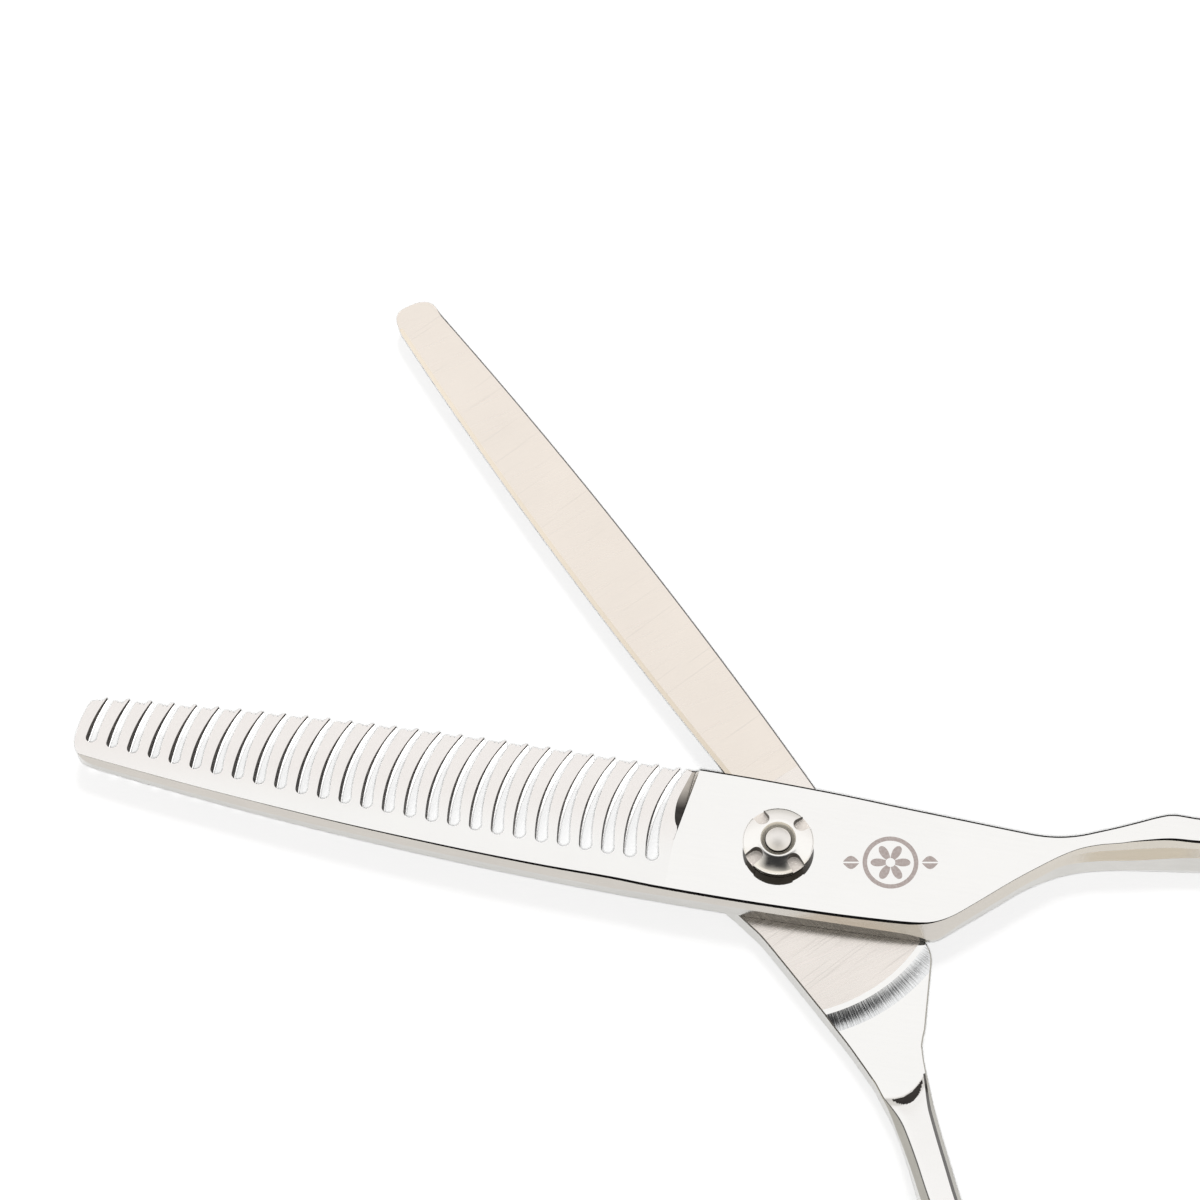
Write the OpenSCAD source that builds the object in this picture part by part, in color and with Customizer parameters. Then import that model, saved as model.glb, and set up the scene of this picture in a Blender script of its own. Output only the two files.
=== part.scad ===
// Hairdresser's thinning shears: a toothed blade half and a plain blade half on
// one adjustable pivot, with offset finger rings, a screwed-in finger rest and a
// bumper. Drawn half open, lying on a table, in millimetres.
// Origin: on the pivot axis, on the flat face of the pivot bolt's head.
// -X runs along the toothed blade to its tip, +X to the rings, +Z up.

/* [Pose] */
// Angle between the two blades in degrees, 0 is closed
open_angle = 47; // [0:1:90]

/* [Toothed blade] */
// Pivot axis to the tip of the toothed blade
comb_len = 64.7; // [64.5:0.1:66]
// Number of slots cut in the toothed blade
slot_count = 27; // [24:1:27]
// Distance from one slot to the next
slot_pitch = 2.0; // [1.98:0.005:2.02]
// Radius of the curved walls of the slots
slot_wall_r = 13.2; // [13:0.1:13.6]
// Shift of the right wall from the left wall, along the blade
slot_gap = 1.05; // [0.9:0.05:1.15]
// Shift of the right wall from the left wall, across the blade
slot_flare = 0.83; // [0.6:0.01:0.9]
// Radius at the bottom of each slot
slot_root_r = 0.6; // [0.45:0.05:0.65]
// Radius of the two nicks in each tooth tip
nick_r = 0.16; // [0.1:0.01:0.2]
// Radius of the back of the toothed blade
back_r = 440; // [400:5:500]
// Radius of the line of tooth tips
tips_r = 460; // [420:5:520]

/* [Plain blade] */
// Pivot axis to the tip of the plain blade
plain_len = 66.8; // [66:0.1:68]
// Radius of the cutting edge
edge_r = 560; // [500:5:650]
// Radius of the back of the plain blade
spine_r = 596; // [550:2:650]
// Width of the outer bevel that leads to the cutting edge
edge_bevel_w = 4.2; // [3.4:0.1:4.6]

/* [Thickness] */
// Thickness of each half at the pivot
blade_t = 2.55; // [2.4:0.05:2.6]
// Fall of the outer face along the blade, in degrees
blade_fall = 0.84; // [0.5:0.01:0.95]
// Slope of the toothed part across the blade, in degrees
tooth_fall = 5.7; // [4:0.1:6]
// Air between the two sliding faces
face_gap = 0.05; // [0.03:0.01:0.05]
// Depth of the relief behind the ride ring
relief_d = 0.35; // [0.2:0.05:0.5]
// Radius of the ride ring round the pivot
ride_r = 15.25; // [14.5:0.05:15.5]

/* [Rings] */
// Inner radius of both rings
ring_r = 11; // [10.5:0.1:11]
// Wall of the rings, measured outwards
ring_w = 3.3; // [3.2:0.1:3.4]
// Height of the rings and of the whole grip
ring_h = 6; // [5.6:0.2:6]
// Centre of the finger ring along the toothed blade's axis
finger_x = 73; // [72.5:0.1:73.5]
// Centre of the finger ring to the side
finger_y = 13; // [12.5:0.1:13.5]
// Centre of the thumb ring along the closed blade's axis
thumb_x = 61; // [60.5:0.1:61.5]
// Centre of the thumb ring to the side
thumb_y = -15.5; // [-16:0.1:-15.4]

/* [Pivot] */
// Radius of the bolt's head
head_r = 4.5; // [4:0.1:4.8]
// Height of the bolt's head below the plain half
head_h = 0.5; // [0.3:0.1:0.5]
// Radius of the bolt's journal
journal_r = 2.0; // [1.9:0.05:2.0]
// Radius of the bolt's threaded end
thread_r = 1.25; // [1.15:0.05:1.25]
// Thread pitch of the bolt and of the finger rest
thread_pitch = 0.45; // [0.4:0.05:0.5]
// Radius of the tension nut
nut_r = 3.15; // [3.1:0.05:3.4]
// Height of the nut's straight side
nut_side_h = 1.35; // [1.1:0.05:1.5]
// Radius of the nut's domed top
nut_dome_r = 6.8; // [6:0.2:8]
// Width of the nut's four key notches
notch_w = 1.2; // [1:0.05:1.3]

/* [Finger rest] */
// Direction in which the finger rest leaves its ring, in degrees from +X
rest_dir = 20; // [10:1:30]
// Radius of the round bar of the finger rest
rest_bar_r = 1.6; // [1.4:0.05:1.8]
// Radius of the finger rest's bend
rest_bend_r = 11; // [9:0.5:14]
// Angle of the finger rest's bend
rest_bend = 62; // [50:1:75]

/* [Bumper] */
// Radius of the bumper
bumper_r = 2.0; // [1.8:0.1:2.0]

/* [Hidden] */
fit = 0.02;
z_face = head_h + blade_t - 0.05;      // sliding face of the plain half
z_comb = z_face + face_gap;            // sliding face of the toothed half
z_top = z_comb + blade_t;              // outer face of the toothed half
z_mid = ring_h / 2;
washer_t = 0.3;
z_seat = z_top - 0.9;                  // floor of the spring pocket
z_key = z_seat + 0.45;                 // underside of the keyed washer
z_nut = z_top + 0.05;                  // underside of the nut
z_rim = z_nut + nut_side_h;
pocket_r = 2.95;
bush_r = journal_r + 0.6;
slot_x0 = slot_wall_r - 63.65;
shoulder_x = -9.2;
tips_y = 6.25;                         // highest point of the line of tooth tips
heel_c = [13.85, -3.15];               // centre of the heel's rounded corner
heel_n = [cos(-48.5), sin(-48.5)];     // square to the slanted edge behind it
hollow_c = [32.65, -12.53];            // centre of the hollow under the neck
finger_c = [finger_x, finger_y];
thumb_c = [thumb_x, thumb_y];
ring_out = ring_r + ring_w;
gap_v = finger_c - thumb_c;
gap_len = norm(gap_v);
bump_dir = atan2(gap_v[1], gap_v[0]);
bump_top = gap_len - ring_out - 0.1;   // just clear of the finger ring
bump_root = ring_out - 0.9;
rest_seat = ring_out + 0.6;

// ---- helpers -------------------------------------------------------------

function arc(c, r, a0, a1, n) =
  [for (i = [0:n]) c + r * [cos(a0 + (a1 - a0) * i / n), sin(a0 + (a1 - a0) * i / n)]];

// Catmull-Rom curve through a list of points
function knot(p, i) = p[max(0, min(len(p) - 1, i))];
function curve(p, u) =
  let (i = min(len(p) - 2, floor(u)), t = u - i,
       a = knot(p, i - 1), b = knot(p, i), c = knot(p, i + 1), d = knot(p, i + 2))
  0.5 * ((2 * b) + (c - a) * t + (2 * a - 5 * b + 4 * c - d) * t * t
         + (3 * b - a - 3 * c + d) * t * t * t);

// Eight-sided section with one wide facet: cl on the low side, cr on the high side
function section(x, y0, y1, z0, z1, cl, cr) =
  let (w = y1 - y0, h = z1 - z0, b = min(0.6, 0.2 * w, 0.2 * h))
  [[x, y1, z0 + b], [x, y1, z1 - cr * h], [x, y1 - cr * w, z1], [x, y0 + cl * w, z1],
   [x, y0, z1 - cl * h], [x, y0, z0 + b], [x, y0 + b, z0], [x, y1 - b, z0]];

// Bar through stations [x, low side, high side, bottom, top]
module bar(st, per, cl, cr) {
  n = (len(st) - 1) * per;
  m = 8;
  rows = [for (i = [0:n])
    let (q = curve(st, i / per)) section(q[0], q[1], q[2], q[3], q[4], cl, cr)];
  pts = [for (r = rows) for (p = r) p];
  polyhedron(
    points = pts,
    faces = concat(
      [[for (k = [0:m - 1]) k]],
      [for (i = [0:n - 1]) for (k = [0:m - 1])
        [i * m + k, (i + 1) * m + k, (i + 1) * m + (k + 1) % m, i * m + (k + 1) % m]],
      [[for (k = [m - 1:-1:0]) n * m + k]]),
    convexity = 6);
}

module ring_at(c) {
  rad = ring_w / 2;
  translate([c[0], c[1], 0])
    rotate_extrude($fn = 128)
      translate([ring_r + rad, 0]) {
        translate([0, rad]) circle(r = rad, $fn = 48);
        translate([0, ring_h - rad]) circle(r = rad, $fn = 48);
        translate([-rad, rad]) square([ring_w, ring_h - 2 * rad]);
      }
}

// ---- toothed half --------------------------------------------------------

module comb_blade_2d() {
  intersection() {
    translate([-5, back_r - 6.05]) circle(r = back_r, $fn = 1440);
    translate([-20, tips_y - tips_r]) circle(r = tips_r, $fn = 1440);
    union() {
      translate([5 - comb_len, 1.2]) circle(r = 5, $fn = 96);
      translate([5 - comb_len, -10]) square([comb_len - 13.5, 20]);
    }
  }
}

module comb_heel_2d() {
  intersection() {
    translate([-5, back_r - 6.05]) circle(r = back_r, $fn = 1440);
    difference() {
      union() {
        polygon([[-9, 6.15], [-9, -8], heel_c - [0, 5], heel_c, heel_c + 2.46 * heel_n,
                 hollow_c - 16.9 * heel_n, hollow_c + [-7.2, 12.7],
                 hollow_c + [-5.2, 16.2], [27.2, 6.2], [26.7, 7.4], [21.5, 5.15]]);
        translate(heel_c) circle(r = 2.5, $fn = 64);
      }
      // hollow under the neck and over it
      translate(hollow_c) circle(r = 17, $fn = 240);
      translate([21.5, 12.15]) circle(r = 7, $fn = 120);
    }
  }
}

module slots_2d() {
  for (i = [0:slot_count - 1]) {
    cx = slot_x0 + slot_pitch * i;
    root_y = -3.25 + 2.8 * pow((cx - slot_wall_r + 14) / 50, 2);
    difference() {
      intersection() {
        translate([cx, -0.3]) circle(r = slot_wall_r, $fn = 180);
        translate([cx - slot_wall_r - 1, root_y + slot_root_r])
          square([5, 12]);
      }
      translate([cx + slot_gap, slot_flare - 0.3]) circle(r = slot_wall_r, $fn = 180);
    }
    translate([cx - slot_wall_r + 0.92, root_y + slot_root_r])
      circle(r = slot_root_r, $fn = 24);
  }
}

// Two small nicks in the end of each tooth
module nicks_2d() {
  for (i = [1:slot_count - 1]) {
    cx = slot_x0 + slot_pitch * i;
    y = tips_y - tips_r + sqrt(tips_r * tips_r - pow(cx - slot_wall_r + 20.8, 2));
    wall_x = cx - sqrt(slot_wall_r * slot_wall_r - pow(y + 0.3, 2));
    for (k = [0.55, 1.0])
      translate([wall_x - k, y]) circle(r = nick_r, $fn = 16);
  }
}

// Everything above the sloping outer faces of the toothed blade
module comb_grind() {
  intersection() {
    translate([0, 0, z_comb])
      linear_extrude(height = 6)
        polygon([[-80, -12], [-80, 12], [-7.2, 12], [shoulder_x, -1], [-9.3, -12]]);
    union() {
      translate([shoulder_x, 0, z_top])
        rotate([0, -blade_fall, 0])
          translate([-80, -15, 0]) cube([90, 30, 8]);
      translate([shoulder_x, -1, z_top])
        rotate([-tooth_fall, -1, 0])
          translate([-80, -15, 0]) cube([90, 30, 8]);
    }
  }
}

// Bevel along the back of the toothed half
module comb_back_bevel() {
  translate([-5, back_r - 6.05, 0])
    rotate([0, 0, -98.2])
      rotate_extrude(angle = 10.7, $fn = 1440)
        polygon([[back_r - 0.36, z_top + 0.02], [back_r + 1, z_top + 0.02],
                 [back_r + 1, z_top - 0.85], [back_r + 0.01, z_top - 0.85]]);
}

// Bevel along the corner, the neck and the hollow of the toothed half's heel
module comb_heel_bevel() {
  drop = z_top - 0.85;
  translate([heel_c[0], heel_c[1], 0])
    rotate([0, 0, -92])
      rotate_extrude(angle = 43.5, $fn = 96)
        polygon([[2.14, z_top + 0.02], [4, z_top + 0.02], [4, drop], [2.51, drop]]);
  translate([heel_c[0] + 2.5 * heel_n[0], heel_c[1] + 2.5 * heel_n[1], 0])
    rotate([0, 0, 41.5])
      rotate([90, 0, 90])
        translate([0, 0, -0.4])
          linear_extrude(height = 9)
            polygon([[0.34, z_top + 0.02], [-2, z_top + 0.02], [-2, drop], [-0.06, drop]]);
  translate([hollow_c[0], hollow_c[1], drop])
    cylinder(r1 = 16.99, r2 = 17.37, h = 0.87, $fn = 240);
}

comb_bar = [
  // x, low side, high side, bottom, top
  [21.6, 0.9, 5.0, z_comb + 0.1, z_top - 0.1],
  [25.0, 3.0, 5.5, 2.5, z_top + 0.02],
  [28.0, 4.15, 6.75, 1.4, z_top + 0.05],
  [31.0, 4.9, 8.0, 0.8, z_top + 0.08],
  [34.0, 5.5, 9.2, 0.5, z_top + 0.1],
  [38.0, 6.1, 9.3, 0.4, ring_h - 0.3],
  [46.0, 7.3, 10.4, 0.35, ring_h - 0.35],
  [54.0, 8.2, 12.0, 0.35, ring_h - 0.35],
  [59.0, 8.2, 13.6, 0.4, ring_h - 0.4],
  [61.2, 8.2, 14.2, 0.6, ring_h - 0.6]];

module comb_half() {
  color("silver")
    difference() {
      union() {
        difference() {
          translate([0, 0, z_comb])
            linear_extrude(height = blade_t)
              difference() {
                union() {
                  comb_blade_2d();
                  comb_heel_2d();
                }
                slots_2d();
                nicks_2d();
              }
          comb_grind();
          comb_back_bevel();
          comb_heel_bevel();
        }
        bar(comb_bar, 4, 0.27, 0.08);
        ring_at(finger_c);
        // seat of the finger rest
        translate([finger_x, finger_y, z_mid])
          rotate([0, 0, rest_dir])
            rotate([0, 90, 0])
              translate([0, 0, ring_r + 1.4])
                cylinder(r = 2.4, h = rest_seat - ring_r - 1.4, $fn = 48);
      }
      // pivot bore, spring pocket and washer recess
      translate([0, 0, z_comb - 1]) cylinder(r = bush_r, h = 6, $fn = 64);
      translate([0, 0, z_seat]) cylinder(r = pocket_r, h = 4, $fn = 64);
      translate([0, 0, z_comb - 1]) cylinder(r = 4.6, h = 1 + washer_t, $fn = 64);
      // threaded hole of the finger rest
      translate([finger_x, finger_y, z_mid])
        rotate([0, 0, rest_dir])
          rotate([0, 90, 0])
            translate([0, 0, ring_r + 0.7])
              cylinder(r = thread_r + fit, h = 6, $fn = 32);
    }
}

// ---- plain half, drawn closed and then turned open ------------------------

module opened() {
  rotate([0, 0, -open_angle]) children();
}

module plain_2d() {
  intersection() {
    translate([-50, edge_r - 1.0]) circle(r = edge_r, $fn = 1440);
    translate([-5, 6.45 - spine_r]) circle(r = spine_r, $fn = 1440);
    union() {
      translate([2.3 - plain_len, 1.3]) circle(r = 2.3, $fn = 64);
      translate([2.3 - plain_len, -6]) square([plain_len - 5.3, 14]);
    }
  }
  circle(r = 6.45, $fn = 128);
  polygon(concat(
    [[-4, 6.4], [-5.5, 0], [2, -6.1], [5.5, -5.35], [12, -4.9], [17, -4.45], [21.5, -4.4]],
    arc([29.2, 10], 12, 252, 222, 8),
    arc([13.9, 3.85], 2.6, 48, 90, 6)));
}

// Outer bevel and narrow edge land of the cutting edge
module plain_edge_cut() {
  translate([-50, edge_r - 1.0, 0])
    rotate([0, 0, -92.4])
      rotate_extrude(angle = 6.5, $fn = 1440) {
        polygon([[edge_r - edge_bevel_w, head_h - 0.05], [edge_r + 1, z_face + 0.2],
                 [edge_r + 1, head_h - 0.05]]);
        polygon([[edge_r - 0.36, z_face + 0.01], [edge_r + 1, z_face + 0.01],
                 [edge_r + 1, z_face - 0.6]]);
      }
}

plain_bar = [
  // x, low side, high side, bottom, top
  [20.0, -4.3, 1.9, head_h + 0.1, z_face - relief_d - 0.1],
  [23.0, -4.55, 0.2, head_h, z_face - relief_d + 0.05],
  [26.0, -5.1, -1.2, head_h - 0.1, 3.3],
  [29.5, -6.1, -2.5, 0.35, 4.5],
  [33.0, -7.2, -3.8, 0.3, 5.3],
  [37.0, -8.3, -4.9, 0.3, ring_h - 0.3],
  [42.0, -9.6, -5.9, 0.35, ring_h - 0.35],
  [46.5, -12.0, -6.9, 0.4, ring_h - 0.4],
  [48.9, -13.2, -8.4, 0.6, ring_h - 0.6]];

module plain_half() {
  color("gainsboro")
    opened()
      difference() {
        union() {
          difference() {
            translate([0, 0, head_h])
              linear_extrude(height = z_face - head_h) plain_2d();
            plain_edge_cut();
            // outer face falls towards the tip
            translate([-8, 0, head_h])
              rotate([0, blade_fall, 0])
                translate([-80, -15, -8]) cube([80, 30, 8]);
            // relief behind the ride ring
            translate([0, 0, z_face - relief_d])
              difference() {
                translate([8, -12, 0]) cube([30, 30, 3]);
                translate([0, 0, -1]) cylinder(r = ride_r, h = 5, $fn = 180);
              }
          }
          bar(plain_bar, 4, 0.08, 0.24);
          ring_at(thumb_c);
        }
        // key hole of the bolt
        intersection() {
          translate([0, 0, -1]) cylinder(r = 2.6 + fit, h = 6, $fn = 64);
          translate([-5, -2 - fit, -1]) cube([10, 4 + 2 * fit, 6]);
        }
        // bumper pocket and its threaded hole
        translate([thumb_x, thumb_y, z_mid])
          rotate([0, 0, bump_dir])
            rotate([0, 90, 0]) {
              translate([0, 0, bump_root]) cylinder(r = bumper_r + fit, h = 6, $fn = 48);
              translate([0, 0, ring_r + 0.7]) cylinder(r = 1.0 + fit, h = 6, $fn = 32);
            }
      }
}

// ---- pivot hardware --------------------------------------------------------

module pivot_bolt() {
  color("silver")
    opened()
      difference() {
        union() {
          cylinder(r1 = head_r - 0.15, r2 = head_r, h = 0.15, $fn = 96);
          translate([0, 0, 0.15]) cylinder(r = head_r, h = head_h - 0.15, $fn = 96);
          intersection() {
            cylinder(r = 2.6, h = z_face - 0.1, $fn = 64);
            translate([-5, -2, 0]) cube([10, 4, 6]);
          }
          cylinder(r = journal_r, h = z_key - 0.05, $fn = 64);
          cylinder(r = thread_r, h = z_rim + 0.2, $fn = 48);
          // domed end
          intersection() {
            cylinder(r = thread_r - 0.1, h = 12, $fn = 48);
            translate([0, 0, z_rim + 0.7 - 2.2]) sphere(r = 2.2, $fn = 64);
          }
        }
        // flat for the keyed washer
        translate([thread_r - 0.3, -3, z_key - 0.05]) cube([3, 6, 0.9]);
      }
}

module pivot_bush() {
  color("peru")
    difference() {
      translate([0, 0, z_comb + washer_t])
        cylinder(r = bush_r - 0.01, h = z_seat - z_comb - washer_t, $fn = 64);
      cylinder(r = journal_r + 0.04, h = 12, $fn = 64);
    }
}

module glide_washer() {
  color("ivory")
    difference() {
      translate([0, 0, z_face + 0.01])
        cylinder(r = 4.55, h = z_comb + washer_t - z_face - 0.01, $fn = 64);
      cylinder(r = journal_r + 0.1, h = 12, $fn = 64);
    }
}

module disc_spring() {
  color("gray")
    rotate_extrude($fn = 64)
      polygon([[2.85, z_seat], [2.85, z_seat + 0.2], [2.18, z_key], [2.18, z_key - 0.2]]);
}

module keyed_washer() {
  color("gainsboro")
    opened()
      difference() {
        translate([0, 0, z_key]) cylinder(r = 2.85, h = z_nut - z_key, $fn = 64);
        difference() {
          translate([0, 0, z_key - 1]) cylinder(r = thread_r + fit, h = 3, $fn = 48);
          translate([thread_r - 0.3 + fit, -3, z_key - 2]) cube([3, 6, 6]);
        }
      }
}

module tension_nut() {
  color("silver")
    opened()
      difference() {
        intersection() {
          translate([0, 0, z_nut]) cylinder(r = nut_r, h = 6, $fn = 96);
          translate([0, 0, z_rim - sqrt(nut_dome_r * nut_dome_r - nut_r * nut_r)])
            sphere(r = nut_dome_r, $fn = 128);
        }
        cylinder(r = thread_r + fit, h = 20, $fn = 48);
        // dished ring round the bolt's end
        translate([0, 0, z_rim + 0.12])
          cylinder(r1 = thread_r, r2 = 1.75, h = 0.7, $fn = 64);
        // four key notches
        for (k = [0:3])
          rotate([0, 0, 45 + open_angle + 90 * k])
            translate([0, 0, z_nut + 0.55]) {
              translate([2.4, 0, 0]) cylinder(r = notch_w / 2, h = 4, $fn = 32);
              translate([2.4, -notch_w / 2, 0]) cube([3, notch_w, 4]);
            }
      }
}

// ---- grip fittings ---------------------------------------------------------

module on_finger_ring() {
  translate([finger_x, finger_y, z_mid])
    rotate([0, 0, rest_dir])
      children();
}

module finger_rest_washer() {
  color("dimgray")
    on_finger_ring()
      rotate([0, 90, 0])
        difference() {
          translate([0, 0, rest_seat]) cylinder(r = 2.4, h = 0.4, $fn = 48);
          cylinder(r = thread_r + fit, h = 40, $fn = 32);
        }
}

module finger_rest() {
  color("silver")
    on_finger_ring() {
      rotate([0, 90, 0]) {
        translate([0, 0, ring_r + 1.0])
          cylinder(r = thread_r, h = rest_seat - ring_r, $fn = 32);
        translate([0, 0, rest_seat + 0.4]) cylinder(r = 2.4, h = 0.8, $fn = 48);
        translate([0, 0, rest_seat + 1.2])
          cylinder(r1 = 2.4, r2 = rest_bar_r + 0.12, h = 1.2, $fn = 48);
      }
      // round bar bent sideways, with a ball end
      translate([rest_seat + 2, rest_bend_r, 0])
        rotate([0, 0, -90])
          rotate_extrude(angle = rest_bend, $fn = 128)
            translate([rest_bend_r, 0]) circle(r = rest_bar_r, $fn = 32);
      translate([rest_seat + 2, rest_bend_r, 0])
        rotate([0, 0, rest_bend - 90])
          translate([rest_bend_r, 0, 0])
            rotate([90, 0, 0]) sphere(r = rest_bar_r + 0.15, $fn = 48);
    }
}

module on_thumb_ring() {
  opened()
    translate([thumb_x, thumb_y, z_mid])
      rotate([0, 0, bump_dir])
        rotate([0, 90, 0])
          children();
}

module bumper() {
  color("dimgray")
    on_thumb_ring()
      difference() {
        intersection() {
          translate([0, 0, bump_root]) cylinder(r = bumper_r, h = bump_top - bump_root, $fn = 48);
          translate([0, 0, bump_top - 3]) sphere(r = 3, $fn = 64);
        }
        translate([0, 0, bump_root - 1]) cylinder(r = 1.0 + fit, h = 2.6, $fn = 32);
      }
}

module bumper_stud() {
  color("silver")
    on_thumb_ring()
      translate([0, 0, ring_r + 0.9]) cylinder(r = 1.0, h = bump_root + 1.5 - ring_r - 0.9, $fn = 32);
}

comb_half();
plain_half();
pivot_bolt();
pivot_bush();
glide_washer();
disc_spring();
keyed_washer();
tension_nut();
finger_rest();
finger_rest_washer();
bumper();
bumper_stud();
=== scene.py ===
import math

import bmesh
import bpy
import numpy as np
from mathutils import Matrix, Vector
from mathutils.geometry import delaunay_2d_cdt


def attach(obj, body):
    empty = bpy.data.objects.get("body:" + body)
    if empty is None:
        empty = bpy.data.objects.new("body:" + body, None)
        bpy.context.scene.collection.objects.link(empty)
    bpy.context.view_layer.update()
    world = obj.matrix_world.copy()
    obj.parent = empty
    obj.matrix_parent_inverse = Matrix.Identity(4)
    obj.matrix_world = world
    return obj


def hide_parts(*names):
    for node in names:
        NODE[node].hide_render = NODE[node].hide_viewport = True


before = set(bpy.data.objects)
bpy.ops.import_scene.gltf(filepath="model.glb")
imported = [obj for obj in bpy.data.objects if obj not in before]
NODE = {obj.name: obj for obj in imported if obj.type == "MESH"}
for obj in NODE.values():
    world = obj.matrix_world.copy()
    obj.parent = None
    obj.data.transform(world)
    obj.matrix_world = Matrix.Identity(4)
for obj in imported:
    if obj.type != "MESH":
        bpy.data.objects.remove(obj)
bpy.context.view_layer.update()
scene = bpy.context.scene

# Meshes are drawn in millimetres, with the pivot's axis on Z, and finish_mesh turns them into metres.
# Materials count in metres.
MM = 0.001
OPEN = math.radians(-47)  # the plain half is drawn closed and turned by this into its rest pose


# ---- camera ----------------------------------------------------------------------------
CAMERA_AT = Vector((19.803, -115.216, 302.274)) * MM
CAMERA_RIGHT = Vector((0.980727, 0.190221, -0.044604))
CAMERA_DOWN = Vector((0.153126, -0.890121, -0.429229))
CAMERA_AHEAD = Vector((-0.121351, 0.414127, -0.902094))


def make_camera():
    data = bpy.data.cameras.new("view_camera")
    data.sensor_width = 36
    data.lens = 108
    data.clip_start = 0.01
    data.clip_end = 20
    cam = bpy.data.objects.new("view_camera", data)
    axes = Matrix((CAMERA_RIGHT, -CAMERA_DOWN, -CAMERA_AHEAD)).transposed()
    cam.matrix_world = Matrix.Translation(CAMERA_AT) @ axes.to_4x4()
    scene.collection.objects.link(cam)
    scene.camera = cam


make_camera()


# ---- material tools --------------------------------------------------------------------
def new_mat(name):
    """Material, its node tree and its shader."""
    mat = bpy.data.materials.new(name)
    mat.use_nodes = True
    nt = mat.node_tree
    return mat, nt, nt.nodes["Principled BSDF"]


def calc(nt, op, a, b=None, c=None):
    """Math node: inputs are sockets or numbers."""
    node = nt.nodes.new("ShaderNodeMath")
    node.operation = op
    for k, v in enumerate((a, b, c)):
        if v is None:
            continue
        if isinstance(v, (int, float)):
            node.inputs[k].default_value = v
        else:
            nt.links.new(v, node.inputs[k])
    return node.outputs[0]


def noise(nt, vector, scale, detail=4, rough=0.6):
    """Noise texture's value."""
    node = nt.nodes.new("ShaderNodeTexNoise")
    node.inputs["Scale"].default_value = scale
    node.inputs["Detail"].default_value = detail
    node.inputs["Roughness"].default_value = rough
    nt.links.new(vector, node.inputs["Vector"])
    return node.outputs["Fac"]


def blend_colour(nt, fac, a, b):
    """Mix of two colours, each a socket or a tuple."""
    node = nt.nodes.new("ShaderNodeMix")
    node.data_type = "RGBA"
    for key, v in (("A", a), ("B", b)):
        if isinstance(v, tuple):
            node.inputs[key].default_value = (*v, 1)
        else:
            nt.links.new(v, node.inputs[key])
    nt.links.new(fac, node.inputs["Factor"])
    return node.outputs["Result"]


def ranged(nt, v, lo, hi, a=0.0, b=1.0):
    """Value carried from the range lo to hi onto a to b."""
    node = nt.nodes.new("ShaderNodeMapRange")
    node.inputs["From Min"].default_value = lo
    node.inputs["From Max"].default_value = hi
    node.inputs["To Min"].default_value = a
    node.inputs["To Max"].default_value = b
    nt.links.new(v, node.inputs["Value"])
    return node.outputs[0]


def split(nt, vector=None):
    """X, Y and Z sockets of a vector, or of the object position."""
    sep = nt.nodes.new("ShaderNodeSeparateXYZ")
    if vector is None:
        vector = nt.nodes.new("ShaderNodeTexCoord").outputs["Object"]
    nt.links.new(vector, sep.inputs[0])
    return sep.outputs


def span(nt, u, v):
    """Length of the flat vector (u, v)."""
    return calc(nt, "POWER", calc(nt, "ADD", calc(nt, "MULTIPLY", u, u), calc(nt, "MULTIPLY", v, v)), 0.5)


def overlay(nt, fac, colour):
    """Lays a colour over the shader's present one, where fac is 1."""
    base = nt.nodes["Principled BSDF"].inputs["Base Color"]
    nt.links.new(blend_colour(nt, fac, base.links[0].from_socket, colour), base)


def place(nt, turn=0.0, scale=None, radial=False):
    """Object position in a frame turned about the pivot, stretched by scale (per metre).
    A radial one is (angle, radius) about the pivot, and scale stretches these two."""
    if radial:
        x, y = split(nt)[:2]
        com = nt.nodes.new("ShaderNodeCombineXYZ")
        nt.links.new(calc(nt, "MULTIPLY", calc(nt, "ARCTAN2", y, x), scale[0]), com.inputs[0])
        nt.links.new(calc(nt, "MULTIPLY", span(nt, x, y), scale[1]), com.inputs[1])
        return com.outputs[0]
    mp = nt.nodes.new("ShaderNodeMapping")
    mp.vector_type = "TEXTURE"
    mp.inputs["Rotation"].default_value = (0, 0, turn)
    nt.links.new(nt.nodes.new("ShaderNodeTexCoord").outputs["Object"], mp.inputs["Vector"])
    if scale is None:
        return mp.outputs[0]
    st = nt.nodes.new("ShaderNodeVectorMath")
    st.operation = "MULTIPLY"
    st.inputs[1].default_value = scale
    nt.links.new(mp.outputs[0], st.inputs[0])
    return st.outputs[0]


CLOUD = 110  # scale of the broad clouding, per metre
GROOVE = 0.00002


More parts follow.
